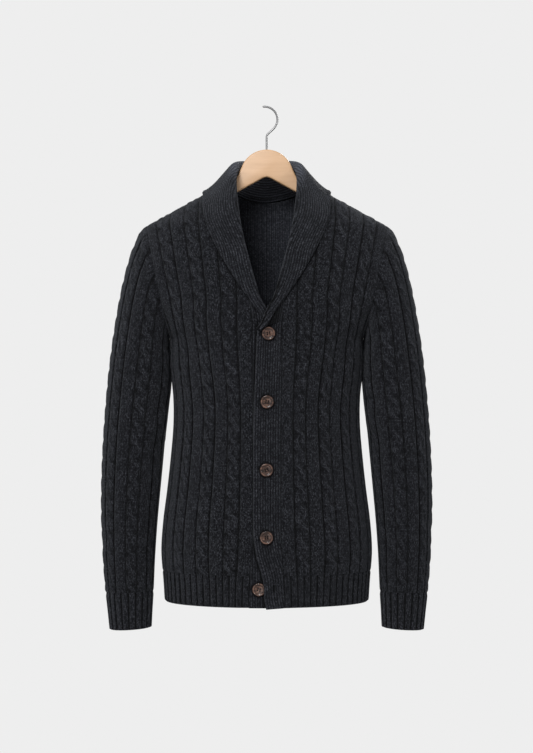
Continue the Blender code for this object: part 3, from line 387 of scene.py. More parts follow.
def wale_tops(shares, side):
    """Height at which each wale ends: on the neckline, the shoulder seam or the armhole."""
    place = front_wale_x if side == "front" else wale_x
    shares = np.abs(shares)
    x = place(shares, SHOULDER_Z)
    blank = np.zeros_like(shares)
    low, middle = blank + ARMPIT_Z, blank + MIDDLE_Z
    armhole = halved(low, middle, lambda z: place(shares, z) < edge_x(z))
    if side == "back":
        neck = back_neck_z(x)
    else:
        low, high = blank + V_POINT_Z, blank + NECK_Z
        neck = halved(low, high, lambda z: place(shares, z) > front_neck_x(z))
    tops = np.where(x >= NECK_X - TINY, shoulder_z(x), neck)
    tops = np.where(shares > ARMHOLE_SHARE + TINY, armhole, tops)
    return np.where(shares >= 0.9999, ARMPIT_Z, tops)


# ---------------- creases in the cloth

# A soft trough (below 0) or ridge on the body, from one point to another, fading at its ends.
CREASE = "x0 z0 x1 z1 width height"
SIDE_SEAM_CREASES = (
    (0.159, -0.385, 0.1535, -0.475, 0.016, 0.0022),
    (-0.159, -0.385, -0.1535, -0.475, 0.016, 0.0022),
)
FRONT_CREASES = table(
    CREASE,
    (0.138, -0.372, 0.088, -0.452, 0.016, -0.0026),
    (0.142, -0.398, 0.112, -0.500, 0.014, 0.0020),
    (-0.140, -0.378, -0.094, -0.444, 0.015, -0.0024),
    (-0.140, -0.410, -0.108, -0.512, 0.015, 0.0019),
    (0.176, -0.262, 0.128, -0.318, 0.018, -0.0020),
    (-0.178, -0.270, -0.134, -0.330, 0.017, -0.0018),
    (0.120, -0.700, 0.070, -0.640, 0.022, -0.0016),
    (-0.126, -0.690, -0.060, -0.655, 0.024, 0.0016),
    *SIDE_SEAM_CREASES,
)
BACK_CREASES = table(
    CREASE,
    (0.146, -0.380, 0.088, -0.470, 0.016, -0.0027),
    (-0.150, -0.372, -0.096, -0.456, 0.015, -0.0024),
    (0.150, -0.412, 0.104, -0.520, 0.016, 0.0021),
    (-0.148, -0.404, -0.108, -0.506, 0.015, 0.0019),
    (0.060, -0.480, -0.070, -0.502, 0.022, -0.0022),
    (-0.040, -0.520, 0.080, -0.548, 0.020, 0.0016),
    (0.170, -0.270, 0.120, -0.330, 0.018, -0.0019),
    (-0.172, -0.262, -0.130, -0.322, 0.017, -0.0021),
    *SIDE_SEAM_CREASES,
)
# The same on a sleeve: across as a share of a turn, along as a place in SLEEVE.  The right
# sleeve's lie a little further down.
SLEEVE_CREASES = table(
    "turn0 place0 turn1 place1 width height",
    (0.02, 7.6, 0.20, 9.3, 0.34, -0.0026),
    (0.04, 8.4, 0.25, 10.1, 0.32, 0.0020),
    (0.00, 9.2, 0.17, 10.5, 0.30, -0.0023),
    (0.97, 8.0, 0.80, 9.6, 0.34, -0.0025),
    (0.99, 9.0, 0.78, 10.4, 0.30, 0.0018),
    (0.10, 3.2, 0.22, 5.6, 0.36, -0.0022),
    (0.90, 3.4, 0.77, 5.4, 0.34, -0.0020),
    (0.30, 11.9, 0.55, 12.5, 0.24, -0.0016),
    (0.06, 12.4, 0.28, 13.0, 0.22, -0.0018),
    (0.72, 12.1, 0.96, 12.9, 0.24, -0.0017),
)
RIGHT_SHIFT = 0.35
TURN_LENGTH, PLACE_LENGTH = 0.30, 0.045  # metres for a whole turn and for one section


def crease_height(across, along, crease, lengths):
    """Height of one crease at points (across, along); lengths scales them to metres."""
    x0, z0, x1, z1, width, height = crease
    start = np.array([x0 * lengths[0], z0 * lengths[1]])
    run = np.array([x1 * lengths[0], z1 * lengths[1]]) - start
    spot = np.stack([across * lengths[0], along * lengths[1]], -1) - start
    share = np.clip(spot @ run / (run @ run), 0.0, 1.0)
    away = np.linalg.norm(spot - share[..., None] * run, axis=-1)
    return height * np.sin(pi * (0.12 + 0.76 * share)) ** 2 * bell(away, width)


def sleeve_creases(turn, place, hand):
    total = 0.0
    shift = 0.0 if hand > 0 else RIGHT_SHIFT
    for turn0, place0, turn1, place1, width, height in SLEEVE_CREASES:
        moved = (turn0, place0 + shift, turn1, place1 + shift * 0.6, width * PLACE_LENGTH, height)
        for whole in (-1, 0, 1):
            total = total + crease_height(turn + whole, place, moved, (TURN_LENGTH, PLACE_LENGTH))
    return total


# ---------------- the knit's relief and its painted shade

# Lines across a column, as shares of its width.
PLAIN_SHARES = (0.0, 0.02, 0.042, 0.068, 0.105, 0.17, 0.30, 0.5, 0.70, 0.83, 0.895, 0.932, 0.958,
                0.98)
CABLE_SHARES = (0.0, 0.02, 0.045, 0.08, 0.13, 0.19, 0.26, 0.34, 0.42, 0.5, 0.58, 0.66, 0.74, 0.81,
                0.87, 0.92, 0.955, 0.98)
STITCHES_APART = 11  # whole stitches from one column's count to the next, so that none repeats
STRAND_REACH, STRAND_HALF = 0.205, 0.235  # a strand's swing and half width, in column widths
CABLE_LIT, PLAIN_LIT = 0.0021, 0.0015  # heights at which the knit is out of the ditches' painted shade
STRANDS_MEET = 0.00045  # the difference in height at which the painted dark line between two strands fades


def columns_of(edges, cable_first=False):
    """Arrays (share, s, cable, low, high) for the lines of the columns, by turns plain and cable."""
    rows = []
    for i, (low, high) in enumerate(zip(edges, edges[1:])):
        cable = (i % 2 == 0) == cable_first
        for s in CABLE_SHARES if cable else PLAIN_SHARES:
            rows.append((low + s * (high - low), s, cable, low, high))
    rows.append((edges[-1], 1.0, *rows[-1][2:]))
    return np.array(rows, float).T


def strands(v, twist, cell=None):
    """(front centre, back centre, crossing, cell) of a cable's two strands at distance v."""
    place = v / CABLE_PITCH - 0.25 * twist
    if cell is None:
        cell = np.floor(place)
    q = place - cell
    swing = twist * STRAND_REACH * (1 - 2 * smoothstep(0.26, 0.74, q))
    return 0.5 + swing, 0.5 - swing, np.sin(pi * np.clip(q, 0.0, 1.0)) ** 2, cell


def strand_heights(s, v, twist):
    front, back, crossing, _ = strands(v, twist)
    half = STRAND_HALF * (1 + 0.22 * crossing)
    front, back = (np.maximum(0.0, 1 - ((s - at) / half) ** 2) ** 0.6 for at in (front, back))
    over = front * (CABLE_RISE + CABLE_LIFT * crossing)
    return over, back * (CABLE_RISE - CABLE_SINK * crossing)


def relief(columns, v, twist):
    """(height above the purl ditch, painted shade) of plain and cable columns.

    The painted shade is 0 in the ditches and where one strand dives under the other, and 1 on top; a
    cable's strand tops carry a painted highlight up to 1.4.
    """
    s, cable = columns[1][:, None], columns[2][:, None] > 0.5
    rim = np.minimum(s, 1 - s)
    plain = PLAIN_RISE * smoothstep(0.012, 0.085, rim) * (0.84 + 0.16 * np.sin(pi * s))
    over, under = strand_heights(s, v, twist)
    rope = np.maximum(np.maximum(over, under), CABLE_FLOOR * smoothstep(0.012, 0.07, rim))
    crossing = strands(v, twist)[2]
    meeting = bell(over - under, STRANDS_MEET) * (0.3 + 0.7 * crossing)
    # Painted shade in the ditches and between crossing strands, painted highlight on the strands'
    # tops.
    rope_shade = np.clip(rope / CABLE_LIT, 0.0, 1.4) * (1 - 0.8 * meeting)
    plain_shade = np.clip(plain / PLAIN_LIT, 0.0, 1.0)
    return np.where(cable, rope, plain), np.where(cable, rope_shade, plain_shade)


def knit_uv(s, v, cable, twist, middle_s, middle_v):
    """Stitch counts at a face's corners, all on the strand that lies on top at its middle."""
    over, under = strand_heights(middle_s, middle_v, twist)
    front, back, _, _ = strands(v, twist, strands(middle_v, twist)[3])
    centre = np.where(over >= under, front, back)
    rope = (s - centre) / (2 * STRAND_HALF) * 3 + 1.5
    across = np.where(cable > 0.5, rope, s * 6 - 0.5)
    return np.stack(np.broadcast_arrays(across, v / COURSE), -1)


# ---------------- shells


def corner_values(values):
    """(lines, rows) values at the four corners of each cell of the grid."""
    return np.stack([values[:-1, :-1], values[1:, :-1], values[1:, 1:], values[:-1, 1:]], -1)


def cell_uv(across, along):
    return np.stack([corner_values(across), corner_values(along)], -1)


class Cloth:
    """Collects the points and faces of one closed shell."""

    def __init__(self):
        self.points, self.painted_shades, self.faces, self.uvs = [], [], [], []
        self.count = 0

    def add_points(self, points, relief=1.0):
        """relief is the painted shade: 0 in a ditch between columns and 1 on top of one."""
        shape = points.shape[:-1]
        total = int(np.prod(shape))
        index = np.arange(self.count, self.count + total).reshape(shape)
        self.points.append(points.reshape(-1, 3))
        self.painted_shades.append(np.broadcast_to(relief, shape).ravel())
        self.count += total
        return index

    def add_faces(self, faces, uvs):
        self.faces += faces.tolist()
        self.uvs.append(np.asarray(uvs, float).reshape(-1, 2))

    def add_grid(self, index, uvs, keep=slice(None)):
        """Faces between neighbouring lines of points.  uvs is (lines - 1, rows - 1, 4, 2)."""
        self.add_faces(corner_values(index)[keep].reshape(-1, 4), uvs[keep])

    def zip_up(self, left, right, left_places, right_places):
        """Triangles between two rows of vertices, in the order of their places."""
        stops = [(place, 0) for place in left_places[1:]]
        stops += [(place, 1) for place in right_places[1:]]
        at, faces, uvs = [0, 0], [], []
        for _, side in sorted(stops):
            base = left[at[0]], right[at[1]]
            at[side] += 1
            faces.append((*base, (left, right)[side][at[side]]))
            v = at[0] * 0.5
            uvs += [(0.5, v), (1.5, v), (0.5, v + 0.5)]
        self.add_faces(np.array(faces), uvs)

    def drop_unused(self):
        """Removes points that no face uses, such as those beyond the armhole."""
        used = np.zeros(self.count, bool)
        for face in self.faces:
            used[face] = True
        number = np.cumsum(used) - 1
        self.faces = [[int(number[k]) for k in face] for face in self.faces]
        self.points = [np.concatenate(self.points)[used]]
        self.painted_shades = [np.concatenate(self.painted_shades)[used]]

    def make(self, name, material):
        data = bpy.data.meshes.new(name)
        data.from_pydata(np.concatenate(self.points).tolist(), [], self.faces)
        layer = data.uv_layers.new(name="knit")
        layer.data.foreach_set("uv", np.concatenate(self.uvs).astype(np.float32).ravel())
        # The "relief" attribute carries the painted shade to the wool material.
        depth = data.attributes.new("relief", "FLOAT", "POINT")
        depth.data.foreach_set("value", np.concatenate(self.painted_shades).astype(np.float32))
        mesh = bmesh.new()
        mesh.from_mesh(data)
        show(name, as_data(mesh, name, SHARP, data), material)


def as_data(mesh, name, angle=40, data=None):
    """The mesh with its normals outward, smooth but for edges sharper than the angle."""
    data = data or bpy.data.meshes.new(name)
    bmesh.ops.recalc_face_normals(mesh, faces=mesh.faces)
    mesh.to_mesh(data)
    mesh.free()
    data.shade_smooth()
    data.set_sharp_from_angle(angle=radians(angle))
    return data


def added(name, data):
    """A new object in the scene."""
    obj = bpy.data.objects.new(name, data)
    bpy.context.scene.collection.objects.link(obj)
    return obj


def show(name, data, material, stands_for_node=True):
    """A piece in its place, riding on the root."""
    data.transform(Matrix.Translation((STEM_X, 0.0, 0.0)))
    data.materials.append(material)
    obj = added(name + "_fine", data)
    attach(obj, "root")
    if stands_for_node:
        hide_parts(name)


def run_lengths(points):
    """Distance along each line from its first row."""
    steps = np.linalg.norm(np.diff(points, axis=1), axis=-1)
    return np.concatenate([np.zeros((len(points), 1)), np.cumsum(steps, axis=1)], axis=1)


def knit_cells(columns, v, twist):
    """UV of every cell of a grid of knit columns."""
    share, s, cable, low, high = columns
    right = (share[1:] - low[:-1]) / (high[:-1] - low[:-1])
    along = corner_values(v)
    across = np.stack([s[:-1], right, right, s[:-1]], -1)[:, None, :]
    across = np.broadcast_to(across, along.shape)
    middle_s, middle_v = across.mean(-1, keepdims=True), along.mean(-1, keepdims=True)
    uv = knit_uv(across, along, cable[:-1, None, None], twist, middle_s, middle_v)
    uv[..., 0] += STITCHES_APART * np.cumsum(s == 0)[:-1, None, None]
    return uv


def shell(name, outer, inner, shade, uvs, stride, ring=True):
    """A closed shell from an outer skin and a coarser inner one.  A ring's last line is its first."""
    cloth = Cloth()
    inner = inner[:, ::stride]
    if ring:
        outer, inner, shade = outer[:-1], inner[:-1], shade[:-1]
    skins = [cloth.add_points(outer, shade), cloth.add_points(inner)]
    if ring:
        skins = [np.concatenate([skin, skin[:1]]) for skin in skins]
    for skin, uv in zip(skins, uvs):
        cloth.add_grid(skin, uv)
    lines, rows = (list(range(count)) for count in skins[0].shape)
    for row in (0, -1):
        cloth.zip_up(skins[0][:, row], skins[1][:, row], lines, lines)
    if not ring:
        for line in (0, -1):
            cloth.zip_up(skins[0][line], skins[1][line], rows, rows[::stride])
    cloth.make(name, KNIT)


# ---------------- fronts and back


def front_edges():
    edges = [BAND_SHARE, BAND_SHARE + FIRST_COLUMN]
    while edges[-1] + COLUMN_PITCH < 0.985:
        edges.append(edges[-1] + COLUMN_PITCH)
    return [*edges, 1.0]


def back_edges():
    half = [ARMHOLE_SHARE * (i + 0.5) / 7.5 for i in range(9)]
    return [-1.0, *(-edge for edge in reversed(half)), *half, 1.0]


def lap_offset(x, hand):
    return hand * BAND_LAP * (1 - smoothstep(*LAP_FADE, np.abs(x)))


def to_armhole(x, y, z, goal):
    """x moved to the goal, but not where the seam turns round under the arm."""
    square = np.where(z > MIDDLE_Z, 1.0, smoothstep(0.015, 0.040, np.abs(y)))
    return x + (goal - x) * square


def trimmed(points, side, shares, at_top):
    """Points on seams, moved to stand half a seam's gap clear of them."""
    x, y, z = np.moveaxis(points.copy(), -1, 0)
    shares = np.abs(shares)
    shoulder = at_top & (np.abs(x) >= NECK_X - 0.003) & (shares < ARMHOLE_SHARE + TINY)
    y = np.where((shares > 0.999) | shoulder, outward(side) * SEAM_GAP / 2, y)
    seam = at_top | ((shares < ARMHOLE_SHARE + TINY) & (z > MIDDLE_Z - 0.004))
    seam &= (shares >= ARMHOLE_SHARE - TINY) & (z > ARMPIT_Z - 0.003)
    goal = np.sign(x) * (armhole_plane(z) - SEAM_GAP / 2)
    return np.stack([np.where(seam, to_armhole(x, y, z, goal), x), y, z], -1)


def fabric(shares, z, side, hand):
    """(points, normals, lift) of a panel: the lift is for one front's lap over the other."""
    if side == "front":
        x = front_wale_x(np.abs(shares), z) * hand
        return *surface(x, z, side), lap_offset(x, hand)
    return *surface(wale_x(np.abs(shares), z) * np.sign(shares), z, side), 0.0 * z


def beside_collar(x, z, side):
    """1 on open cloth, less where it is close beside the collar's outer edge: a painted shadow."""
    rows = [(abs(row.edge_x), row.edge_z) for row in COLLAR[1:] if row.edge_side == side]
    near = np.full(x.shape, 1.0)
    for (x0, z0), (x1, z1) in zip(rows, rows[1:]):
        wide, high = x1 - x0, z1 - z0
        part = np.clip(((x - x0) * wide + (z - z0) * high) / (wide**2 + high**2), 0.0, 1.0)
        near = np.minimum(near, np.hypot(x - x0 - part * wide, z - z0 - part * high))
    return 1 - COLLAR_SHADOW * bell(near, COLLAR_SHADOW_WIDTH)


def border(corners, stride):
    """Stops (line, row, place) once round a shell whose rows are taken in strides."""
    stops = [(0, 0, 0)]
    for leg, (start, end) in enumerate(zip(corners, corners[1:])):
        way = np.sign(np.subtract(end, start))
        step = 1 if way[0] else stride
        for k in range(step, np.abs(np.subtract(end, start)).sum() + 1, step):
            stops.append((start[0] + way[0] * k, start[1] + way[1] * k, 1e4 * leg + k))
    return stops


def sunk_at_seams(height, v, from_top, fade, rim=1.0):
    """The relief eased to the seams' height at both ends of its lines."""
    rim = smoothstep(0.0, fade, from_top) * smoothstep(-0.001, 0.003, v) * rim
    return SEAM_HEIGHT + (height - SEAM_HEIGHT) * rim


def panel(name, edges, side, hand, rows_low, rows_high):
    """A front or the back above its hem rib, from rows below and above the armhole's middle."""
    columns = columns_of(edges)
    shares = columns[0]
    left, right = [np.argmin(np.abs(shares - turn * ARMHOLE_SHARE)) for turn in (-1, 1)]
    for turn, k in ((-1, left), (1, right)):
        if abs(shares[k] - turn * ARMHOLE_SHARE) < 0.02:
            shares[k] = turn * ARMHOLE_SHARE
    rows, lines = rows_low + rows_high, len(shares)
    twist = hand if side == "front" else -1
    tops = wale_tops(shares, side)
    notch = (MIDDLE_Z - HEM_RIB_TOP_Z) / (tops[right] - HEM_RIB_TOP_Z)
    low, high = np.linspace(0, notch, rows_low + 1), np.linspace(notch, 1, rows_high + 1)
    t = np.concatenate([low, high[1:]])
    beyond = np.abs(shares) > ARMHOLE_SHARE + TINY
    part = np.where(beyond[:, None], np.minimum(1.0, t / notch), t)
    z = HEM_RIB_TOP_Z + (tops[:, None] - HEM_RIB_TOP_Z) * part
    grid = np.broadcast_to(shares[:, None], z.shape)
    points, normals, lift = fabric(grid, z, side, hand)
    x = points[..., 0]
    creases = FRONT_CREASES if side == "front" else BACK_CREASES
    lift = lift + sum(crease_height(x, z, row, (1.0, 1.0)) for row in creases) - RIDGE
    base = points + normals * lift[..., None]
    v = run_lengths(base)
    last = np.where(beyond, rows_low, rows)[:, None]
    from_top = np.take_along_axis(v, last, 1) - v
    height, shade = relief(columns, v, twist)
    # Painted shadow beside the collar's outer edge.
    shade = shade * beside_collar(np.abs(base[..., 0]), base[..., 2], side)
    reach = armhole_plane(z) - np.abs(base[..., 0])
    rim = np.where(z > ARMPIT_Z - 0.004, smoothstep(0.0, 0.006, reach), 1.0)
    height = sunk_at_seams(height, v, from_top, SEAM_FADE, rim)
    seam = smoothstep(0.955, 0.985, np.abs(grid))
    height = np.maximum(height, SEAM_HEIGHT * seam)
    under_arm = smoothstep(ARMPIT_Z, ARMPIT_Z - 0.004, z) * smoothstep(-0.470, -0.420, z)
    height = height + UNDER_ARM_FULLNESS * seam * under_arm
    row = np.arange(rows + 1)
    outer, inner = (
        trimmed(points + normals * (lift + rise)[..., None], side, grid, row == last)
        for rise in (height, -WALL)
    )

    cloth = Cloth()
    inner_v = v[:, ::INNER_STRIDE]
    across = grid[:, ::INNER_STRIDE] * 5 / COLUMN_PITCH
    # The inner skin gets painted light, several times the full shade, where it lies in shadow.
    skins = cloth.add_points(outer, shade), cloth.add_points(inner[:, ::INNER_STRIDE], INSIDE_PAINTED_LIGHT)
    exists = row <= last
    keep = exists[:-1, 1:] & exists[1:, 1:]
    cloth.add_grid(skins[0], knit_cells(columns, v, twist), keep)
    keep = keep[:, INNER_STRIDE - 1 :: INNER_STRIDE]
    cloth.add_grid(skins[1], cell_uv(across, inner_v / COURSE), keep)
    corners = [(0, 0), (lines - 1, 0), (lines - 1, rows_low), (right, rows_low), (right, rows)]
    corners += [(left, rows), (left, rows_low), (0, rows_low), (0, 0)]
    rings, places = [], []
    for skin, stride in zip(skins, (1, INNER_STRIDE)):
        stops = border(corners, stride)
        rings.append([skin[line, k // stride] for line, k, _ in stops])
        places.append([place for *_, place in stops])
    cloth.zip_up(*rings, *places)
    cloth.drop_unused()
    cloth.make(name, KNIT)


# ---------------- ribbed hem and cuffs

RIB_SHARES = (0.0, 0.05, 0.11, 0.18, 0.28, 0.42, 0.58, 0.72, 0.82, 0.89, 0.95)
RIB_RISE = 0.0023
RIB_ROWS = 14
HEM_ROUND = 0.0012
EDGE_FULLNESS = 0.0022  # how far the rolled free edge hangs below the ribs
CUFF_LENGTH = 0.059


def ribbed_tube(name, low, ribs, ring, place, length):
    """A ribbed edge.  place(shares, t) gives (points, normals): t is 0 at the free edge, 1 above."""
    rib = np.array([*np.repeat(np.arange(ribs), len(RIB_SHARES)), ribs - 1.0])
    s = np.array([*RIB_SHARES * ribs, 1.0])
    t = np.linspace(0.0, 1.0, RIB_ROWS + 1) ** 1.15
    grid, level = np.meshgrid(low + (1 - low) * (rib + s) / ribs, t, indexing="ij")
    points, normals = place(grid, level)
    v = level * length
    pinch = smoothstep(-0.0012, 0.0035, v) * (0.45 + 0.55 * smoothstep(0, 0.003, length - v))
    rise = (RIB_RISE * smoothstep(0.02, 0.24, np.minimum(s, 1 - s)))[:, None]
    # Painted shade: darker in the troughs between ribs; on the cuffs the rib tops may go above 1,
    # paler than the hem's.
    shade = np.broadcast_to(np.clip(rise / 0.0018, 0.0, 1.38 if ring else 0.99), v.shape)
    rounding = HEM_ROUND * (1 - np.minimum(1.0, v / 0.003)) ** 2
    outer = points + normals * (rise * pinch - RIDGE - rounding)[..., None]
    inner = points + normals * (-RIDGE - WALL + rounding * 0.35)[..., None]
    across, v = (rib + s)[:, None] * 4 + 0.5 + 0 * v, v / COURSE
    uvs = [cell_uv(across[:, ::step], v[:, ::step]) for step in (1, 2)]
    shell(name, outer, inner, shade, uvs, 2, ring)


def hem(name, low, ribs, side, hand):
    low_z = HEM_Z - EDGE_FULLNESS * 0.7
    length = HEM_RIB_TOP_Z - SEAM_GAP - low_z

    def place(shares, t):
        points, normals, lift = fabric(shares, low_z + t * length, side, hand)
        points = points + normals * lift[..., None]
        seam = np.abs(shares) > 0.999
        points[..., 1] = np.where(seam, outward(side) * SEAM_GAP / 2, points[..., 1])
        return points, np.where(seam[..., None], normals * [1, 0, 1], normals)

    ribbed_tube(name, low, ribs, False, place, length)


# ---------------- sleeves


def sleeve_at(turn, place):
    outer_x, outer_z, inner_x, inner_z, half = np.moveaxis(catmull(SLEEVE, place), -1, 0)
    cosine, sine = np.cos(turn * 2 * pi), np.sin(turn * 2 * pi)
    x = (outer_x + inner_x) / 2 + (inner_x - outer_x) / 2 * cosine
    z = (outer_z + inner_z) / 2 + (inner_z - outer_z) / 2 * cosine
    return np.stack([x, -half * sine, z], -1)


def sleeve_surface(turn, place, hand):
    """(points, normals) on a sleeve: turn is 0 under the arm, 0.25 at the front, 0.5 outside."""
    turn, place = np.broadcast_arrays(np.asarray(turn, float), np.asarray(place, float))
    points = sleeve_at(turn, place)
    low, high = np.maximum(0.0, place - 0.02), np.minimum(len(SLEEVE) - 0.8, place + 0.02)
    around = sleeve_at(turn + 0.001, place) - sleeve_at(turn - 0.001, place)
    normal = unit(np.cross(around, sleeve_at(turn, high) - sleeve_at(turn, low)))
    centre = (sleeve_at(0.0, place) + sleeve_at(0.5, place)) / 2
    normal = normal * np.sign(((points - centre) * normal).sum(-1, keepdims=True))
    points[..., 0] += SEAM_GAP * 1.2 * (1 - smoothstep(0.0, 1.0, place))
    mirror = np.array([hand, 1.0, 1.0])
    return points * mirror, normal * mirror


def sleeve(name, hand, rows=248):
    edges = [SLEEVE_TURN + i / SLEEVE_COLUMNS for i in range(SLEEVE_COLUMNS + 1)]
    columns = columns_of(edges, cable_first=True)
    place = (CUFF_SECTION - 0.005) * (1 - np.linspace(0, 1, rows + 1))
    turn, place = np.meshgrid(columns[0], place, indexing="ij")
    base, normals = sleeve_surface(turn, place, hand)
    v = run_lengths(base)
    from_top = v[:, -1:] - v
    height, shade = relief(columns, v, hand)
    height = sunk_at_seams(height, v, from_top, SLEEVE_SEAM_FADE)
    bend = sleeve_creases(turn, place, hand) * smoothstep(0.0, 0.03, from_top) - RIDGE
    outer = base + normals * (height + bend)[..., None]
    inner = base + normals * (bend - WALL)[..., None]
    for skin in (outer, inner):
        x, y, z = skin[:, -1].T
        skin[:, -1, 0] = to_armhole(x, y, z, hand * (armhole_plane(z) + SEAM_GAP / 2))
    inner_uv = cell_uv(turn[:, ::INNER_STRIDE] * 5 * SLEEVE_COLUMNS, v[:, ::INNER_STRIDE] / COURSE)
    uvs = knit_cells(columns, v, hand), inner_uv
    shell(name, outer, inner, shade, uvs, INNER_STRIDE)


def cuff(name, hand, ribs=20):
    low, high = CUFF_SECTION + 0.005, len(SLEEVE) - 1.0 + EDGE_FULLNESS / 0.030

    def place(shares, t):
        return sleeve_surface(shares, high + (low - high) * t, hand)

    ribbed_tube(name, 0.0, ribs, True, place, CUFF_LENGTH)


# ---------------- closed strips: bands and collar


def strip(name, centre, normal, half, uv_across, uv_along, material, edge, shade):
    """A wall with rounded long edges about a sheet of centre points (lines, rows).

    Lines run along the strip; rows run across it from one edge to the other.
    """

    def round_both(over, under):
        return np.concatenate([over, under[:, 1:-1][:, ::-1]], axis=1)

    across = run_lengths(centre)
    rim = np.minimum(across, across[:, -1:] - across)
    thick = half * np.sqrt(np.clip(1 - (1 - np.minimum(1.0, rim / edge)) ** 2, 0.0, 1.0))
    thick = normal * thick[..., None]
    # Painted shade along both long edges of the strip.
    shade = shade * smoothstep(-0.0006, 0.0019, rim)
    cloth = Cloth()
    index = cloth.add_points(round_both(centre + thick, centre - thick), round_both(shade, shade))
    closed = []
    for ring in (index, round_both(uv_across, uv_across), round_both(uv_along, uv_along)):
        closed.append(np.concatenate([ring, ring[:, :1]], axis=1))
    index, across, along = closed
    cloth.add_grid(index, cell_uv(across, along))
    last = index.shape[1] - 1
    for ring in (index[0], index[-1]):
        for k in range(last // 2):
            corners = [ring[k], ring[k + 1], ring[last - k - 1], ring[(last - k) % last]]
            corners = list(dict.fromkeys(corners))
            cloth.add_faces(np.array([corners]), [(0.5, 0.5)] * len(corners))
    cloth.make(name, material)


# The slant of the under and the over band's upper end, and how far the lower end hangs below
# the hem at the free edge and at the seam.
BAND_ENDS = (0.0022, 0.0018, 0.0018), (0.0128, 0.0034, 0.0012)
BUTTON_DENT = 0.0009  # how deep a button presses into its band
COVER_RISE = 0.0052  # how far the over band rises over the lowest button
BAND_ROWS, BAND_LINES = 40, 210
BAND_WAVE = 0.0005
BUTTONHOLE_DEPTH, BUTTONHOLE_RING = 0.0032, 1.7  # the ring of thread is in radii of the hole
WELT_RISE, WELT_X, WELT_WIDTH = 0.0007, 0.0030, 0.0016  # the welt along the over band's edge


def band_x(part, z, hand):
    free_x = by_height(BANDS, "free_x", z) if hand > 0 else UNDER_BAND_X
    return hand * (free_x + (band_seam_x(z) + BAND_TUCK - free_x) * part)


def band(name, hand):
    """A button band, from its free edge to its seam, up to the slant under the lapels."""
    over = hand > 0
    turn = np.cos(pi * np.linspace(0, 1, BAND_ROWS + 1))
    part = 0.5 - 0.5 * turn * (0.45 + 0.55 * np.abs(turn))
    t = np.linspace(0, 1, BAND_LINES + 1)[:, None]
    slant, free_drop, seam_drop = BAND_ENDS[over]
    inside = (LAPEL_X - hand * band_x(part, BAND_TOP_Z, hand)) / LAPEL_WIDTH
    top = V_POINT_Z - LAPEL_GAP - inside * slant
    low_z = HEM_Z - free_drop - (seam_drop - free_drop) * part
    z = low_z + (top - low_z) * t
    x = band_x(part, z, hand)
    points, normals = surface(x, z, "front")
    half = (WALL + RIDGE) / 2
    lift = hand * BAND_LAP - half + BAND_WAVE * np.sin(z * 61 + hand) * np.sin(x * 90 + z * 23)
    from_edge = x - by_height(BANDS, "free_x", z)
    if over:
        beside = np.maximum(0.0, np.abs(z - BUTTONHOLE_Z) - BUTTONHOLE_HALF)
        gap = np.hypot(x - BUTTONHOLE_X, beside) / BUTTONHOLE_RADIUS
        from_ring = gap - BUTTONHOLE_RING
        lift -= BUTTONHOLE_DEPTH * (1 - smoothstep(0.35, 1.0, gap))
        lift += WELT_RISE * bell(from_ring, 0.5) + WELT_RISE * bell(from_edge - WELT_X, WELT_WIDTH)
        # Painted shade in the buttonhole's slit, and painted highlight on its raised ring of thread
        # and along the raised welt by the free edge.
        shade = 1.15 * smoothstep(0.55, 1.1, gap) - 0.15 + 0.25 * bell(from_ring, 0.4)
        shade = shade * (1 + 0.3 * bell(from_edge - 0.0042, 0.0024))
    else:
        # Painted shadow of the over band's free edge on the under band.
        shade = 1 - 0.95 * bell(from_edge + 0.0020, 0.0019)
    for row in BUTTONS:
        away = np.hypot(x - row.x, z - row.z)
        if (row.band == "left") == over:
            lift -= BUTTON_DENT * bell(away, 0.013)
            # A painted shadow ring round each button on its own band.
            shade = shade * (1 - 0.9 * bell(away - BUTTON_RADIUS - 0.0004, 0.0022))
        elif over:
            lift += COVER_RISE * bell(away, 0.0125)
    centre = points + normals * lift[..., None]
    across, along = run_lengths(centre) / RIB_STITCH, (z - HEM_Z) / COURSE
    strip(name, centre, normals, half, across, along, BAND, 0.0014, shade)


# ---------------- shawl collar


def clearance(point):
    """(distance, outward normal) of a point from the garment's outer surface, near it."""
    side = "front" if point.y < 0 else "back"

    def level(x, y, z):
        wide, deep = float(ring_width(z, side)), float(by_height(BODY, side, z))
        return (x / wide) ** 2 + (y / deep) ** 2 - 1

    x, y, z = point.x, point.y, min(point.z, NECK_Z + 0.010)
    here = level(x, y, z)
    rises = level(x + PROBE, y, z) - here, level(x, y + PROBE, z) - here, here - level(x, y, z - PROBE)
    slope = Vector([rise / PROBE for rise in rises])
    return here / slope.length, slope.normalized()


def settled(point, lift, exact=False):
    """The point lifted to stand clear of the surface, or exactly so far from it."""
    for _ in range(4):
        distance, normal = clearance(point)
        if exact or distance < lift:
            point = point + normal * (lift - distance)
    return point


def collar_lift(point, hand):
    """How high the fall lies over the garment: it sinks in a little on the shoulders."""
    least = 0.0036 if hand > 0 else 0.0029
    wide = abs(point.x)
    sunk = 0.0024 * float(smoothstep(0.084, 0.098, wide))
    return least + (COLLAR_LIFT - least) * float(smoothstep(0.022, 0.045, wide)) - sunk


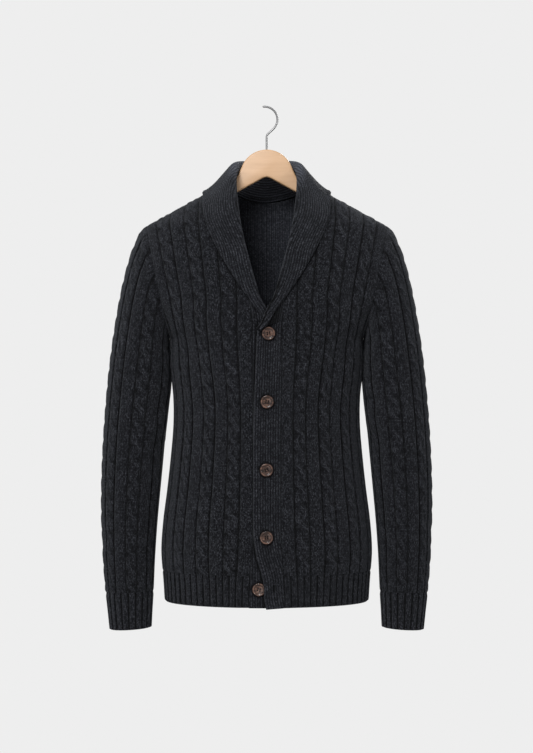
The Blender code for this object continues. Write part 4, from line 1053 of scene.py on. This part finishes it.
def collar_stations(hand):
    """(seam, roll, edge, fold radius, lap) along half the collar, tip first."""
    rows = COLLAR if hand > 0 else (COLLAR[1]._replace(seam=COLLAR[0].seam), *COLLAR[2:])
    edges = []
    for row in rows:
        edge = Vector(surface(abs(row.edge_x), row.edge_z, row.edge_side)[0])
        edge.x = copysign(edge.x, row.edge_x)
        edges.append(edge)
    rolls = [(row.roll_x, row.roll_y, row.roll_z) for row in rows]
    places = [i + k / row.steps for i, row in enumerate(rows[:-1]) for k in range(row.steps)]
    stations = []
    for place in (*places, len(rows) - 1):
        along, lap, fold = catmull([(row.seam, row.lap, row.fold) for row in rows], place)
        seam, normal = (Vector(item) for item in neck_point(along))
        roll, edge = Vector(catmull(rolls, place)), Vector(catmull(edges, place))
        edge = settled(edge, collar_lift(edge, hand), exact=True)
        seam += normal * float(lap_offset(seam.x, hand) - (RIDGE + WALL) / 2)
        inwards = roll - seam
        gap = COLLAR_GAP * (0.45 + 0.55 * float(smoothstep(-0.190, -0.130, along)))
        seam += (inwards - normal * inwards.dot(normal)).normalized() * gap
        apart = hand * lap * (1.75 if hand > 0 else 1.0)
        roll.y -= apart
        for vector in (seam, roll, edge):
            vector.x *= hand
        stations.append([seam, roll, edge, fold, apart])
    return stations


def collar_profile(seam, roll, edge, fold, apart, tangent):
    """The centre line of one section: up the stand, round the fold, down the fall."""
    down = (seam + edge) / 2 - roll
    down = (down - tangent * down.dot(tangent)).normalized()
    over = tangent.cross(down).normalized()
    if over.dot(clearance(edge)[1]) < 0:
        over = -over
    under_fold, over_fold = roll - over * fold, roll + over * fold
    lap = Vector((0.0, -apart, 0.0))
    flat = min(1.0, abs(apart) / 0.0030)
    crossing = float(smoothstep(0.0041, 0.0046, apart))
    stand = seam.lerp(under_fold, 0.55 - 0.21 * crossing)
    stand += over * (under_fold - stand).dot(over) * 0.85 * (1 - flat)
    stand.y += (under_fold.y - stand.y) * crossing * 0.72
    centre = [seam, stand]
    for angle in (-90, -30, 30, 90):
        turn = radians(angle)
        centre.append(roll + (over * sin(turn) - down * cos(turn)) * fold)
    fullness = COLLAR_BULGE * min(1.0, (edge - over_fold).length / 0.03) * (1 - flat)
    sideways = min(1.0, 1.5 * abs(over.x))
    for part, beside in ((0.33, -0.15), (0.67, -0.40), (1.0, 0.0)):
        bulge = fullness * (sin(pi * part) * (1 - sideways) + beside * sideways)
        point = (over_fold - lap).lerp(edge, part) + over * bulge
        centre.append(settled(point, collar_lift(point, 1 if apart > 0 else -1)) + lap)
    return centre


COLLAR_LINES = 330
PROFILE_ROWS = ((0, 1, 9), (1, 5, 25), (5, 8, 34))  # from, to and points: stand, fold and fall
FOLD_END = 5  # the point of the profile along which the lines are evenly spaced
COLLAR_WAVE = 0.0007
BACK_FULLNESS = 0.0006  # added to half the wall, away from the tips
EDGE_RIDGE = 0.0006
ROLLED_RIM = 0.0010  # on the shoulders and the back of the neck


def collar():
    """The whole collar from lapel tip to lapel tip, refined from its sections."""
    stations = collar_stations(-1) + collar_stations(1)[-2::-1]
    sections = []
    for i, station in enumerate(stations):
        before, after = stations[max(0, i - 1)][1], stations[min(len(stations) - 1, i + 1)][1]
        sections.append(collar_profile(*station, (after - before).normalized()))
    coarse = np.array(sections)
    lengths = run_lengths(coarse.transpose(1, 0, 2))[FOLD_END]
    steps = np.linspace(0, lengths[-1], COLLAR_LINES)
    fine = catmull(coarse, np.interp(steps, lengths, np.arange(len(lengths))))
    across = np.unique(np.concatenate([np.linspace(*stretch) for stretch in PROFILE_ROWS]))
    fine = catmull(fine.transpose(1, 0, 2), across).transpose(1, 0, 2)
    normals = unit(np.cross(np.gradient(fine, axis=0), np.gradient(fine, axis=1)))
    width = run_lengths(fine)
    v = np.broadcast_to(steps[:, None], width.shape)
    wave = COLLAR_WAVE * np.sin(v * 38 + 1) * np.sin(width * 55) * smoothstep(0.03, 0.05, width)
    fine = fine + normals * wave[..., None]
    from_tip = np.minimum(v, steps[-1] - v)
    from_edge = width[:, -1:] - width
    rolled = smoothstep(0.22, 0.28, from_tip) * (1 - smoothstep(0.42, 0.48, from_tip))
    half = COLLAR_WALL / 2 + BACK_FULLNESS * smoothstep(0.10, 0.20, from_tip)
    half = half + EDGE_RIDGE * bell(from_edge - 0.0050, 0.0020)
    half = half + ROLLED_RIM * rolled * bell(from_edge - 0.0045, 0.0045)
    # Painted shade darkens the stand by the lapels and painted light makes it paler behind, with a
    # dark line at its seam.
    stand = np.clip((5.4 - across) / 0.8, 0.0, 1.0)
    depth = np.where(v > steps[-1] / 2, smoothstep(-0.1, 0.9, across), 0.15)
    shade = 1 - 0.95 * depth * stand * (1 - smoothstep(0.06, 0.14, from_tip))
    shade = shade * (1 + 4.2 * stand * smoothstep(0.24, 0.30, from_tip))
    shade = shade * (1 - 0.7 * bell(width - 0.0062, 0.0009))
    across, along = width / RIB_STITCH, v / COURSE
    strip("collar", fine, normals, half, across, along, COLLAR_KNIT, 0.0019, shade)


# ---------------- buttons

# Radius and height in shares of the button's own, from the middle of its back to its dish.
BUTTON_PROFILE = ((0.00, 0.00), (0.60, 0.00), (0.80, 0.03), (0.93, 0.20), (1.00, 0.46),
                  (0.985, 0.72), (0.945, 0.90), (0.88, 0.985), (0.81, 0.97), (0.75, 0.86),
                  (0.70, 0.74), (0.64, 0.69), (0.40, 0.66), (0.00, 0.64))
BUTTON_SIDES, HOLE_SIDES, DRILL_LENGTH = 72, 20, 0.02
HOLE_RADIUS, HOLE_REACH = 0.00105, 0.0019
THREAD_RADIUS, THREAD_APART, THREAD_RISE, THREAD_SINK = 0.00032, 0.00028, 0.0016, 0.0012


def join_rings(mesh, rings, sides):
    """Faces between neighbouring rings of vertices, where a ring may be a single one."""
    for low, high in zip(rings, rings[1:]):
        for k in range(sides):
            corners = [low[k % len(low)], low[(k + 1) % len(low)]]
            corners += [high[(k + 1) % len(high)], high[k % len(high)]]
            mesh.faces.new(list(dict.fromkeys(corners)))


def turned_solid(profile, sides):
    """A solid of revolution about Z from (radius, height) rows in metres."""
    mesh = bmesh.new()
    turns = [2 * pi * k / sides for k in range(sides)]
    rings = []
    for radius, height in profile:
        spots = [(radius * cos(t), radius * sin(t), height) for t in turns[: sides if radius else 1]]
        rings.append([mesh.verts.new(spot) for spot in spots])
    join_rings(mesh, rings, sides)
    return mesh


def drilled(data, places, radius):
    """A copy of a button with holes along Z.  Its "ring" is 0 in the middle and 1 at the edge."""
    mesh = bmesh.new()
    for x, y in places:
        made = bmesh.ops.create_cone(mesh, cap_ends=True, segments=HOLE_SIDES, radius1=radius,
                                     radius2=radius, depth=DRILL_LENGTH)
        bmesh.ops.translate(mesh, verts=made["verts"], vec=(x, y, 0))
    tool, work = added("drill", as_data(mesh, "drill")), added("work", data)
    cut = work.modifiers.new("holes", "BOOLEAN")
    cut.operation, cut.solver, cut.object = "DIFFERENCE", "EXACT", tool
    done = work.evaluated_get(bpy.context.evaluated_depsgraph_get())
    result = bpy.data.meshes.new_from_object(done)
    for obj in (tool, work):
        bpy.data.objects.remove(obj)
    result.set_sharp_from_angle(angle=radians(40))
    away = [hypot(vertex.co.x, vertex.co.y) / BUTTON_RADIUS for vertex in result.vertices]
    result.attributes.new("ring", "FLOAT", "POINT").data.foreach_set("value", away)
    return result


def tube(mesh, route, radius, sides, rounded=False):
    """A round bar along a route, with flat ends or a rounded last one."""
    route = [Vector(point) for point in route]
    rings = []
    across = (route[1] - route[0]).orthogonal().normalized()
    for i, point in enumerate(route):
        along = (route[min(i + 1, len(route) - 1)] - route[max(i - 1, 0)]).normalized()
        across = (across - along * across.dot(along)).normalized()
        other = along.cross(across)
        rows = [(point, radius)]
        if rounded and i == len(route) - 1:
            steps = np.linspace(0.15, 1.35, 5)
            rows += [(point + along * radius * sin(t), radius * cos(t)) for t in steps]
        turns = [2 * pi * k / sides for k in range(sides)]
        spokes = [across * cos(t) + other * sin(t) for t in turns]
        for centre, size in rows:
            rings.append([mesh.verts.new(centre + spoke * size) for spoke in spokes])
    join_rings(mesh, rings, sides)
    mesh.faces.new(rings[0])
    mesh.faces.new(rings[-1])


def thread_mesh(height):
    """Two pairs of yarn stitches over the bridges between the holes."""
    mesh = bmesh.new()
    for y in (-HOLE_REACH, HOLE_REACH):
        for shift in (-THREAD_APART, THREAD_APART):
            turns = [pi * k / 8 for k in range(9)]
            low = height - THREAD_SINK
            route = [(-HOLE_REACH * cos(t), y + shift, low + THREAD_RISE * sin(t)) for t in turns]
            tube(mesh, route, THREAD_RADIUS, 8)
    return mesh


def buttons():
    profile = [(r * BUTTON_RADIUS, h * BUTTON_THICK) for r, h in BUTTON_PROFILE]
    holes = [(x * HOLE_REACH, y * HOLE_REACH) for x in (-1, 1) for y in (-1, 1)]
    disc = drilled(as_data(turned_solid(profile, BUTTON_SIDES), "button"), holes, HOLE_RADIUS)
    yarn = as_data(thread_mesh(0.66 * BUTTON_THICK), "thread")
    for row in BUTTONS:
        point, normal = surface(row.x, row.z, "front")
        lift = (BAND_LAP if row.band == "left" else -BAND_LAP) + SEAM_GAP
        stand = Vector(normal).to_track_quat("Z", "Y").to_matrix().to_4x4()
        stand = Matrix.Translation(Vector(point + normal * lift)) @ stand
        stand = stand @ Matrix.Rotation(radians(row.turn), 4, "Z")
        for data, name, material, slot in (
            (disc.copy(), row.name, HORN, "button_horn"),
            (yarn.copy(), row.name + "_thread", YARN, "band_knit"),
        ):
            data.transform(stand)
            show(name, data, material, stands_for_node=name == row.name)


# ---------------- hanger

# Points of the outline's smooth stretches: below the crown, and round the arm's tip.
NECK_POINTS = ((0.0413, -0.0985), (0.0470, -0.1110), (0.0570, -0.1240), (NECK_X, -0.1375))
ARM_X = 0.105  # where the arm's upper edge begins to follow the shoulder
TIP_X = HANGER_HALF_LENGTH - 0.006  # where the tip's two edges are measured
NOTCH_RIM = ((0.006, 0.0030), (0.0, 0.0012))  # x and drop below HANGER_NOTCH_Z
TIP = table(
    "inset edge rise",
    (0.014, "high", 0.0045),
    (0.005, "high", -0.0035),
    (0.000, "high", -0.0090),
    (0.000, "low", 0.0060),
    (0.006, "low", 0.0000),
    (0.016, "low", 0.0055),
)


def hanger_outline():
    """Half of the hanger's outline, from the top of its neck round to the notch below it."""
    dome = HANGER_TOP_Z - HANGER_NOTCH_Z
    turns = np.radians(np.linspace(90, 20, 22))
    points = [(dome * cos(turn), HANGER_NOTCH_Z + dome * sin(turn)) for turn in turns]
    shoulder = [*NECK_POINTS, (ARM_X, shoulder_z(ARM_X) - HANGER_DROP)]
    points += [tuple(catmull(shoulder, place)) for place in np.linspace(1, 4, 22)[1:-1]]
    inner_x = HANGER_HALF_LENGTH - TIP[0].inset
    points.append((inner_x, shoulder_z(inner_x) - HANGER_DROP))
    edges = {
        "low": HANGER_NOTCH_Z - HANGER_SLOPE * TIP_X,
        "high": shoulder_z(TIP_X) - HANGER_DROP,
    }
    tip = [(HANGER_HALF_LENGTH - row.inset, edges[row.edge] + row.rise) for row in TIP]
    points += [tuple(catmull(tip, place)) for place in np.linspace(0, 5, 21)[1:]]
    return points + [(x, HANGER_NOTCH_Z - drop) for x, drop in NOTCH_RIM]


def hanger():
    half = [(float(x), float(z)) for x, z in hanger_outline()]
    outline = half + [(-x, z) for x, z in half[-2:0:-1]]
    mesh = bmesh.new()
    front = mesh.faces.new([mesh.verts.new((x, -HANGER_HALF_THICK, z)) for x, z in outline])
    grown = bmesh.ops.extrude_face_region(mesh, geom=[front])
    moved = [item for item in grown["geom"] if isinstance(item, bmesh.types.BMVert)]
    bmesh.ops.translate(mesh, verts=moved, vec=(0, 2 * HANGER_HALF_THICK, 0))
    bmesh.ops.recalc_face_normals(mesh, faces=mesh.faces)
    rims = [e for e in mesh.edges if abs(e.verts[0].co.y - e.verts[1].co.y) < TINY]
    bmesh.ops.bevel(
        mesh, geom=rims, offset=0.0030, segments=5, profile=0.5, affect="EDGES", clamp_overlap=True
    )
    show("hanger_body", as_data(mesh, "hanger_body", 50), WOOD)


# The wire's route from the hanger up to the arc, and the angles of the arc's points.
HOOK_NECK = ((0.0, -0.0600), (0.0, -0.0500), (0.0003, -0.0468), (0.0016, -0.0440),
             (0.0038, -0.0418))
HOOK_ARC = range(-50, 103, 9)


def hook():
    """The bent wire: a straight stem, a slanted neck and an arc over them."""
    coarse = [(0.0, HANGER_TOP_Z + SEAM_GAP), *HOOK_NECK]
    centre_z = WIRE_RADIUS - HOOK_RADIUS
    for angle in HOOK_ARC:
        x, z = HOOK_RADIUS * cos(radians(angle)), HOOK_RADIUS * sin(radians(angle))
        coarse.append((x - STEM_X, centre_z + z))
    fine = catmull(coarse, np.linspace(0, len(coarse) - 1, (len(coarse) - 1) * 6 + 1))
    mesh = bmesh.new()
    tube(mesh, [(x, 0.0, z) for x, z in fine], WIRE_RADIUS, 24, rounded=True)
    show("hanger_hook", as_data(mesh, "hook"), STEEL)


# ---------------- materials


class Value:
    """A number that a material's nodes make, written like any number."""

    def __init__(self, shader, socket):
        self.shader, self.socket = shader, socket

    def to(self, operation, *others):
        return self.shader.math(operation, self, *others)

    def __rsub__(self, other):
        return self.shader.math("SUBTRACT", other, self)

    __add__ = partialmethod(to, "ADD")
    __sub__ = partialmethod(to, "SUBTRACT")
    __mul__ = partialmethod(to, "MULTIPLY")
    __pow__ = partialmethod(to, "POWER")
    __abs__ = partialmethod(to, "ABSOLUTE")


class Shader:
    """A material whose nodes are made with few words."""

    def __init__(self, name):
        self.material = bpy.data.materials.new(name)
        self.material.use_nodes = True
        self.tree = self.material.node_tree
        self.surface = self.tree.nodes["Principled BSDF"]

    def node(self, kind, inputs=(), **settings):
        made = self.tree.nodes.new("ShaderNode" + kind)
        for name, value in settings.items():
            setattr(made, name, value)
        for name, value in dict(inputs).items():
            self.put(made.inputs[name], value)
        return made

    def put(self, socket, value):
        value = getattr(value, "socket", value)
        if isinstance(value, bpy.types.NodeSocket):
            self.tree.links.new(value, socket)
        else:
            socket.default_value = value

    def math(self, operation, *values):
        made = self.node("Math", dict(enumerate(values)), operation=operation)
        return Value(self, made.outputs[0])

    def attribute(self, name):
        return Value(self, self.node("Attribute", attribute_name=name).outputs["Fac"])

    def noise(self, scale, detail=2.0, rough=0.5, stretch=(1, 1, 1)):
        place = self.node("TexCoord").outputs["Object"]
        turned = self.node("Mapping", {"Vector": place, "Scale": stretch})
        texture = {"Vector": turned.outputs[0], "Scale": scale, "Detail": detail}
        return Value(self, self.node("TexNoise", {**texture, "Roughness": rough}).outputs[0])

    def ramp(self, value, *stops):
        made = self.node("ValToRGB", {"Fac": value})
        while len(made.color_ramp.elements) < len(stops):
            made.color_ramp.elements.new(0.5)
        for element, (place, colour) in zip(made.color_ramp.elements, stops):
            element.position = place
            element.color = (*colour, 1.0)
        return made.outputs[0]

    def product(self, first, second):
        inputs = {0: 1.0, 6: first, 7: second}
        return self.node("Mix", inputs, data_type="RGBA", blend_type="MULTIPLY").outputs[2]

    def bump(self, height, distance, strength):
        inputs = {"Height": height, "Distance": distance, "Strength": strength}
        return self.node("Bump", inputs).outputs[0]

    def finish(self, **inputs):
        for name, value in inputs.items():
            self.put(self.surface.inputs[name.replace("_", " ")], value)
        return self.material


# How knit (first) and fine rib differ: the legs of one stitch across, how strongly its courses
# bead, how sharp a stitch is, how uneven its tone and its painted shade are, and its brightness.
YARNS = table(
    "legs bead_gain bead_base sharpness tone_spread depth_spread gain",
    (2, 1.00, 0.20, 0.6, 0.17, 0.36, 1.05),
    (1, 0.65, 0.75, 0.9, 0.10, 0.18, 1.03),
)
MIDDLE_TONE = 0.62  # the noise value that gives the middle tone


def wool(name, tones, depth, rib=False):
    """Heathered yarn in knit stitches: UV counts stitches across and courses along."""
    s = Shader(name)
    yarn = YARNS[rib]
    parts = s.node("SeparateXYZ", {"Vector": s.node("UVMap", uv_map="knit").outputs[0]})
    u, v = Value(s, parts.outputs[0]), Value(s, parts.outputs[1])
    courses = v - abs(u.to("FRACT") - 0.5) * 1.1
    beads = (courses.to("FRACT") * pi).to("SINE") * yarn.bead_gain + yarn.bead_base
    stitch = (abs((u * (pi * yarn.legs)).to("SINE")) * beads) ** yarn.sharpness
    stitch = stitch * (abs((u * pi).to("SINE")) * 0.38 + 0.62)
    cell = {"X": (u * yarn.legs).to("FLOOR"), "Y": courses.to("FLOOR")}
    cell = s.node("CombineXYZ", cell).outputs[0]
    own = s.node("TexWhiteNoise", {"Vector": cell}, noise_dimensions="2D").outputs["Value"]
    own = Value(s, own) - 0.5
    flecks = s.noise(600.0, 3.0, 0.7, (1.2, 1.2, 0.7)) + s.noise(60.0) * 0.08
    uneven = flecks + (own * yarn.tone_spread + 0.085)
    # The "relief" attribute is painted shade: dark in ditches, under strands and beside edges, and
    # above 1 where painted light lifts shaded insides, where the flecks are calmed.
    level = s.attribute("relief")
    calm = ((level - 1.3).to("MAXIMUM", 0.0) * 0.33).to("MINIMUM", 0.85)
    uneven = (uneven - MIDDLE_TONE) * (1.0 - calm) + MIDDLE_TONE
    tone = s.ramp(uneven, *zip((0.45, MIDDLE_TONE, 0.81), tones))
    # Painted shade: the attribute's shade and the darker gaps between stitch legs and courses multiply
    # the yarn's tone.
    level = (level + own * yarn.depth_spread).to("MAXIMUM", 0.0) * 0.88 + 0.07
    shade = (stitch * yarn.gain + 0.20) * level
    grey = s.node("CombineColor", {"Red": shade, "Green": shade, "Blue": shade})
    return s.finish(
        Base_Color=s.product(tone, grey.outputs[0]),
        Normal=s.bump(stitch + s.noise(2600.0, 3.0, 0.65) * 0.55, depth, 0.9),
        Roughness=0.95,
        Specular_IOR_Level=0.06,
        Sheen_Weight=0.05,
        Sheen_Roughness=0.5,
        Sheen_Tint=(0.75, 0.8, 0.9, 1.0),
    )


def beech():
    s = Shader("beech")
    fine = s.noise(160.0, 3.0, 0.6, (0.12, 1.0, 1.0))
    grain = s.noise(9.0, 5.0, 0.6, (1.0, 4.0, 9.0)) * 0.65 + fine * 0.35
    tone = s.ramp(grain, (0.32, (0.318, 0.197, 0.108)), (0.68, (0.392, 0.249, 0.145)))
    bump = s.bump(fine, 0.0002, 0.35)
    return s.finish(Base_Color=tone, Normal=bump, Roughness=0.42, Specular_IOR_Level=0.4)


HORN_TONES = (
    (0.32, (0.008, 0.0035, 0.0022)),
    (0.52, (0.043, 0.0215, 0.0145)),
    (0.72, (0.125, 0.068, 0.048)),
)
# Painted shade over the button's radius: darker in the groove inside the rim and at the edge, with a
# little painted light on the rim.
HORN_PAINTED_SHADE = ((0.0, 0.75), (0.58, 0.8), (0.68, 0.12), (0.78, 1.05), (0.90, 0.95), (0.97, 0.12))


def horn():
    s = Shader("horn")
    tone = s.ramp(s.noise(130.0, 4.0, 0.55, (1.0, 1.0, 2.2)), *HORN_TONES)
    # Painted shade and light by the ring attribute.
    rings = s.ramp(s.attribute("ring"), *((place, (grey,) * 3) for place, grey in HORN_PAINTED_SHADE))
    return s.finish(
        Base_Color=s.product(tone, rings),
        Roughness=0.4,
        Specular_IOR_Level=0.1,
        Coat_Weight=0.35,
        Coat_Roughness=0.07,
    )


def steel():
    s = Shader("steel")
    rough = s.noise(60.0, 2.0, 0.5, (1.0, 1.0, 30.0)) * 0.06 + 0.34
    return s.finish(Base_Color=(0.155, 0.155, 0.157, 1.0), Metallic=1.0, Roughness=rough)


# The dark, middle and light tone of each yarn.
BODY_TONES = (0.0011, 0.0012, 0.0016), (0.0058, 0.0063, 0.0079), (0.0270, 0.0284, 0.0336)
COLLAR_TONES = (0.0018, 0.0019, 0.0024), (0.0062, 0.0067, 0.0084), (0.0280, 0.0297, 0.0350)
THREAD_TONES = (0.0040, 0.0040, 0.0040), (0.0090, 0.0090, 0.0095), (0.020, 0.020, 0.022)
KNIT = wool("charcoal wool", BODY_TONES, 0.0007)
BAND = wool("charcoal wool, fine rib", BODY_TONES, 0.0012, rib=True)
COLLAR_KNIT = wool("charcoal wool, collar rib", COLLAR_TONES, 0.0012, rib=True)
YARN = wool("sewing yarn", THREAD_TONES, 0.0001)
WOOD, HORN, STEEL = beech(), horn(), steel()

# ---------------- the whole garment

for hand, side_name in ((1, "left"), (-1, "right")):
    panel("front_" + side_name, front_edges(), "front", hand, 236, 48)
    hem("hem_front_" + side_name, BAND_SHARE, 17, "front", hand)
    sleeve("sleeve_" + side_name, hand)
    cuff("cuff_" + side_name, hand)
    band("band_" + side_name, hand)
panel("back", back_edges(), "back", 1, 200, 40)
hem("hem_back", -1.0, 38, "back", 1)
collar()
buttons()
hanger()
hook()

# ---------------- flat sizes of the cloth

# Width and length of each piece as it is knitted, and the area inside its shaped edges.  A row
# with * is for the left and the right piece; carries lists the buttons on a band.
FLATS = table(
    "piece width length area rests_on carries",
    ("back", 0.44, 0.635, 0.236, "hanger_body", ()),
    ("front_*", 0.20, 0.635, 0.104, "hanger_body", ()),
    ("sleeve_*", 0.42, 0.640, 0.141, "front_* back", ()),
    ("cuff_*", 0.20, 0.060, 0.0119, "sleeve_*", ()),
    ("hem_back", 0.43, 0.050, 0.0210, "back", ()),
    ("hem_front_*", 0.19, 0.050, 0.0093, "front_*", ()),
    ("band_left", 0.047, 0.457, 0.0180, "front_left", (1, 2, 3, 4)),
    ("band_right", 0.047, 0.457, 0.0190, "front_right", (5,)),
    ("collar", 0.16, 0.830, 0.0790, "hanger_body front_left front_right", ()),
)

# ---------------- floor, light and camera

FLOOR_Z, FLOOR_RADIUS = -1.30, 1.05
LIGHTS = table(
    "name x y z size power",
    ("key", -0.75, -2.7, 1.20, 1.2, 110.0),
    ("fill", 1.9, -2.3, 0.2, 0.22, 13.0),
    ("low_fill", -0.6, -3.0, -1.0, 1.0, 5.0),
    ("top", -0.2, 0.3, 1.8, 1.4, 14.0),
    ("back_fill", 0.7, 2.6, 0.5, 1.4, 62.0),
)
AIM = Vector((0.0, 0.0, -0.45))


def floor():
    mesh = bmesh.new()
    bmesh.ops.create_circle(mesh, cap_ends=True, segments=96, radius=FLOOR_RADIUS)
    data = bpy.data.meshes.new("floor")
    mesh.to_mesh(data)
    mesh.free()
    s = Shader("pale floor")
    away = s.node("VectorMath", {0: s.node("TexCoord").outputs["Object"]}, operation="LENGTH")
    fade = {"Value": away.outputs["Value"], "From Min": 0.45, "From Max": 1.04}
    fade = s.node("MapRange", {**fade, "To Min": 1.0, "To Max": 0.0})
    grey = (0.46, 0.46, 0.46, 1.0)
    data.materials.append(s.finish(Base_Color=grey, Roughness=0.9, Alpha=fade.outputs[0]))
    obj = added("floor", data)
    obj.location = (0.0, 0.0, FLOOR_Z)


def lights():
    for row in LIGHTS:
        data = bpy.data.lights.new(row.name, "AREA")
        data.shape, data.size, data.energy = "DISK", row.size, row.power
        obj = added(row.name, data)
        obj.location = (row.x, row.y, row.z)
        obj.rotation_euler = (AIM - obj.location).to_track_quat("-Z", "Y").to_euler()


def world():
    world = bpy.data.worlds.new("studio")
    bpy.context.scene.world = world
    world.use_nodes = True
    background = world.node_tree.nodes["Background"]
    background.inputs["Color"].default_value = (0.855, 0.855, 0.855, 1.0)
    background.inputs["Strength"].default_value = 1.0
    bpy.context.scene.view_settings.view_transform = "Standard"


def camera():
    data = bpy.data.cameras.new("camera")
    data.sensor_fit, data.sensor_width, data.lens = "AUTO", 36.0, 86.9
    data.dof.use_dof = False
    obj = added("camera", data)
    obj.location = (0.0033, -3.0, -0.4437)
    obj.rotation_euler = (radians(90), 0.0, 0.0)
    bpy.context.scene.camera = obj


floor()
lights()
world()
camera()
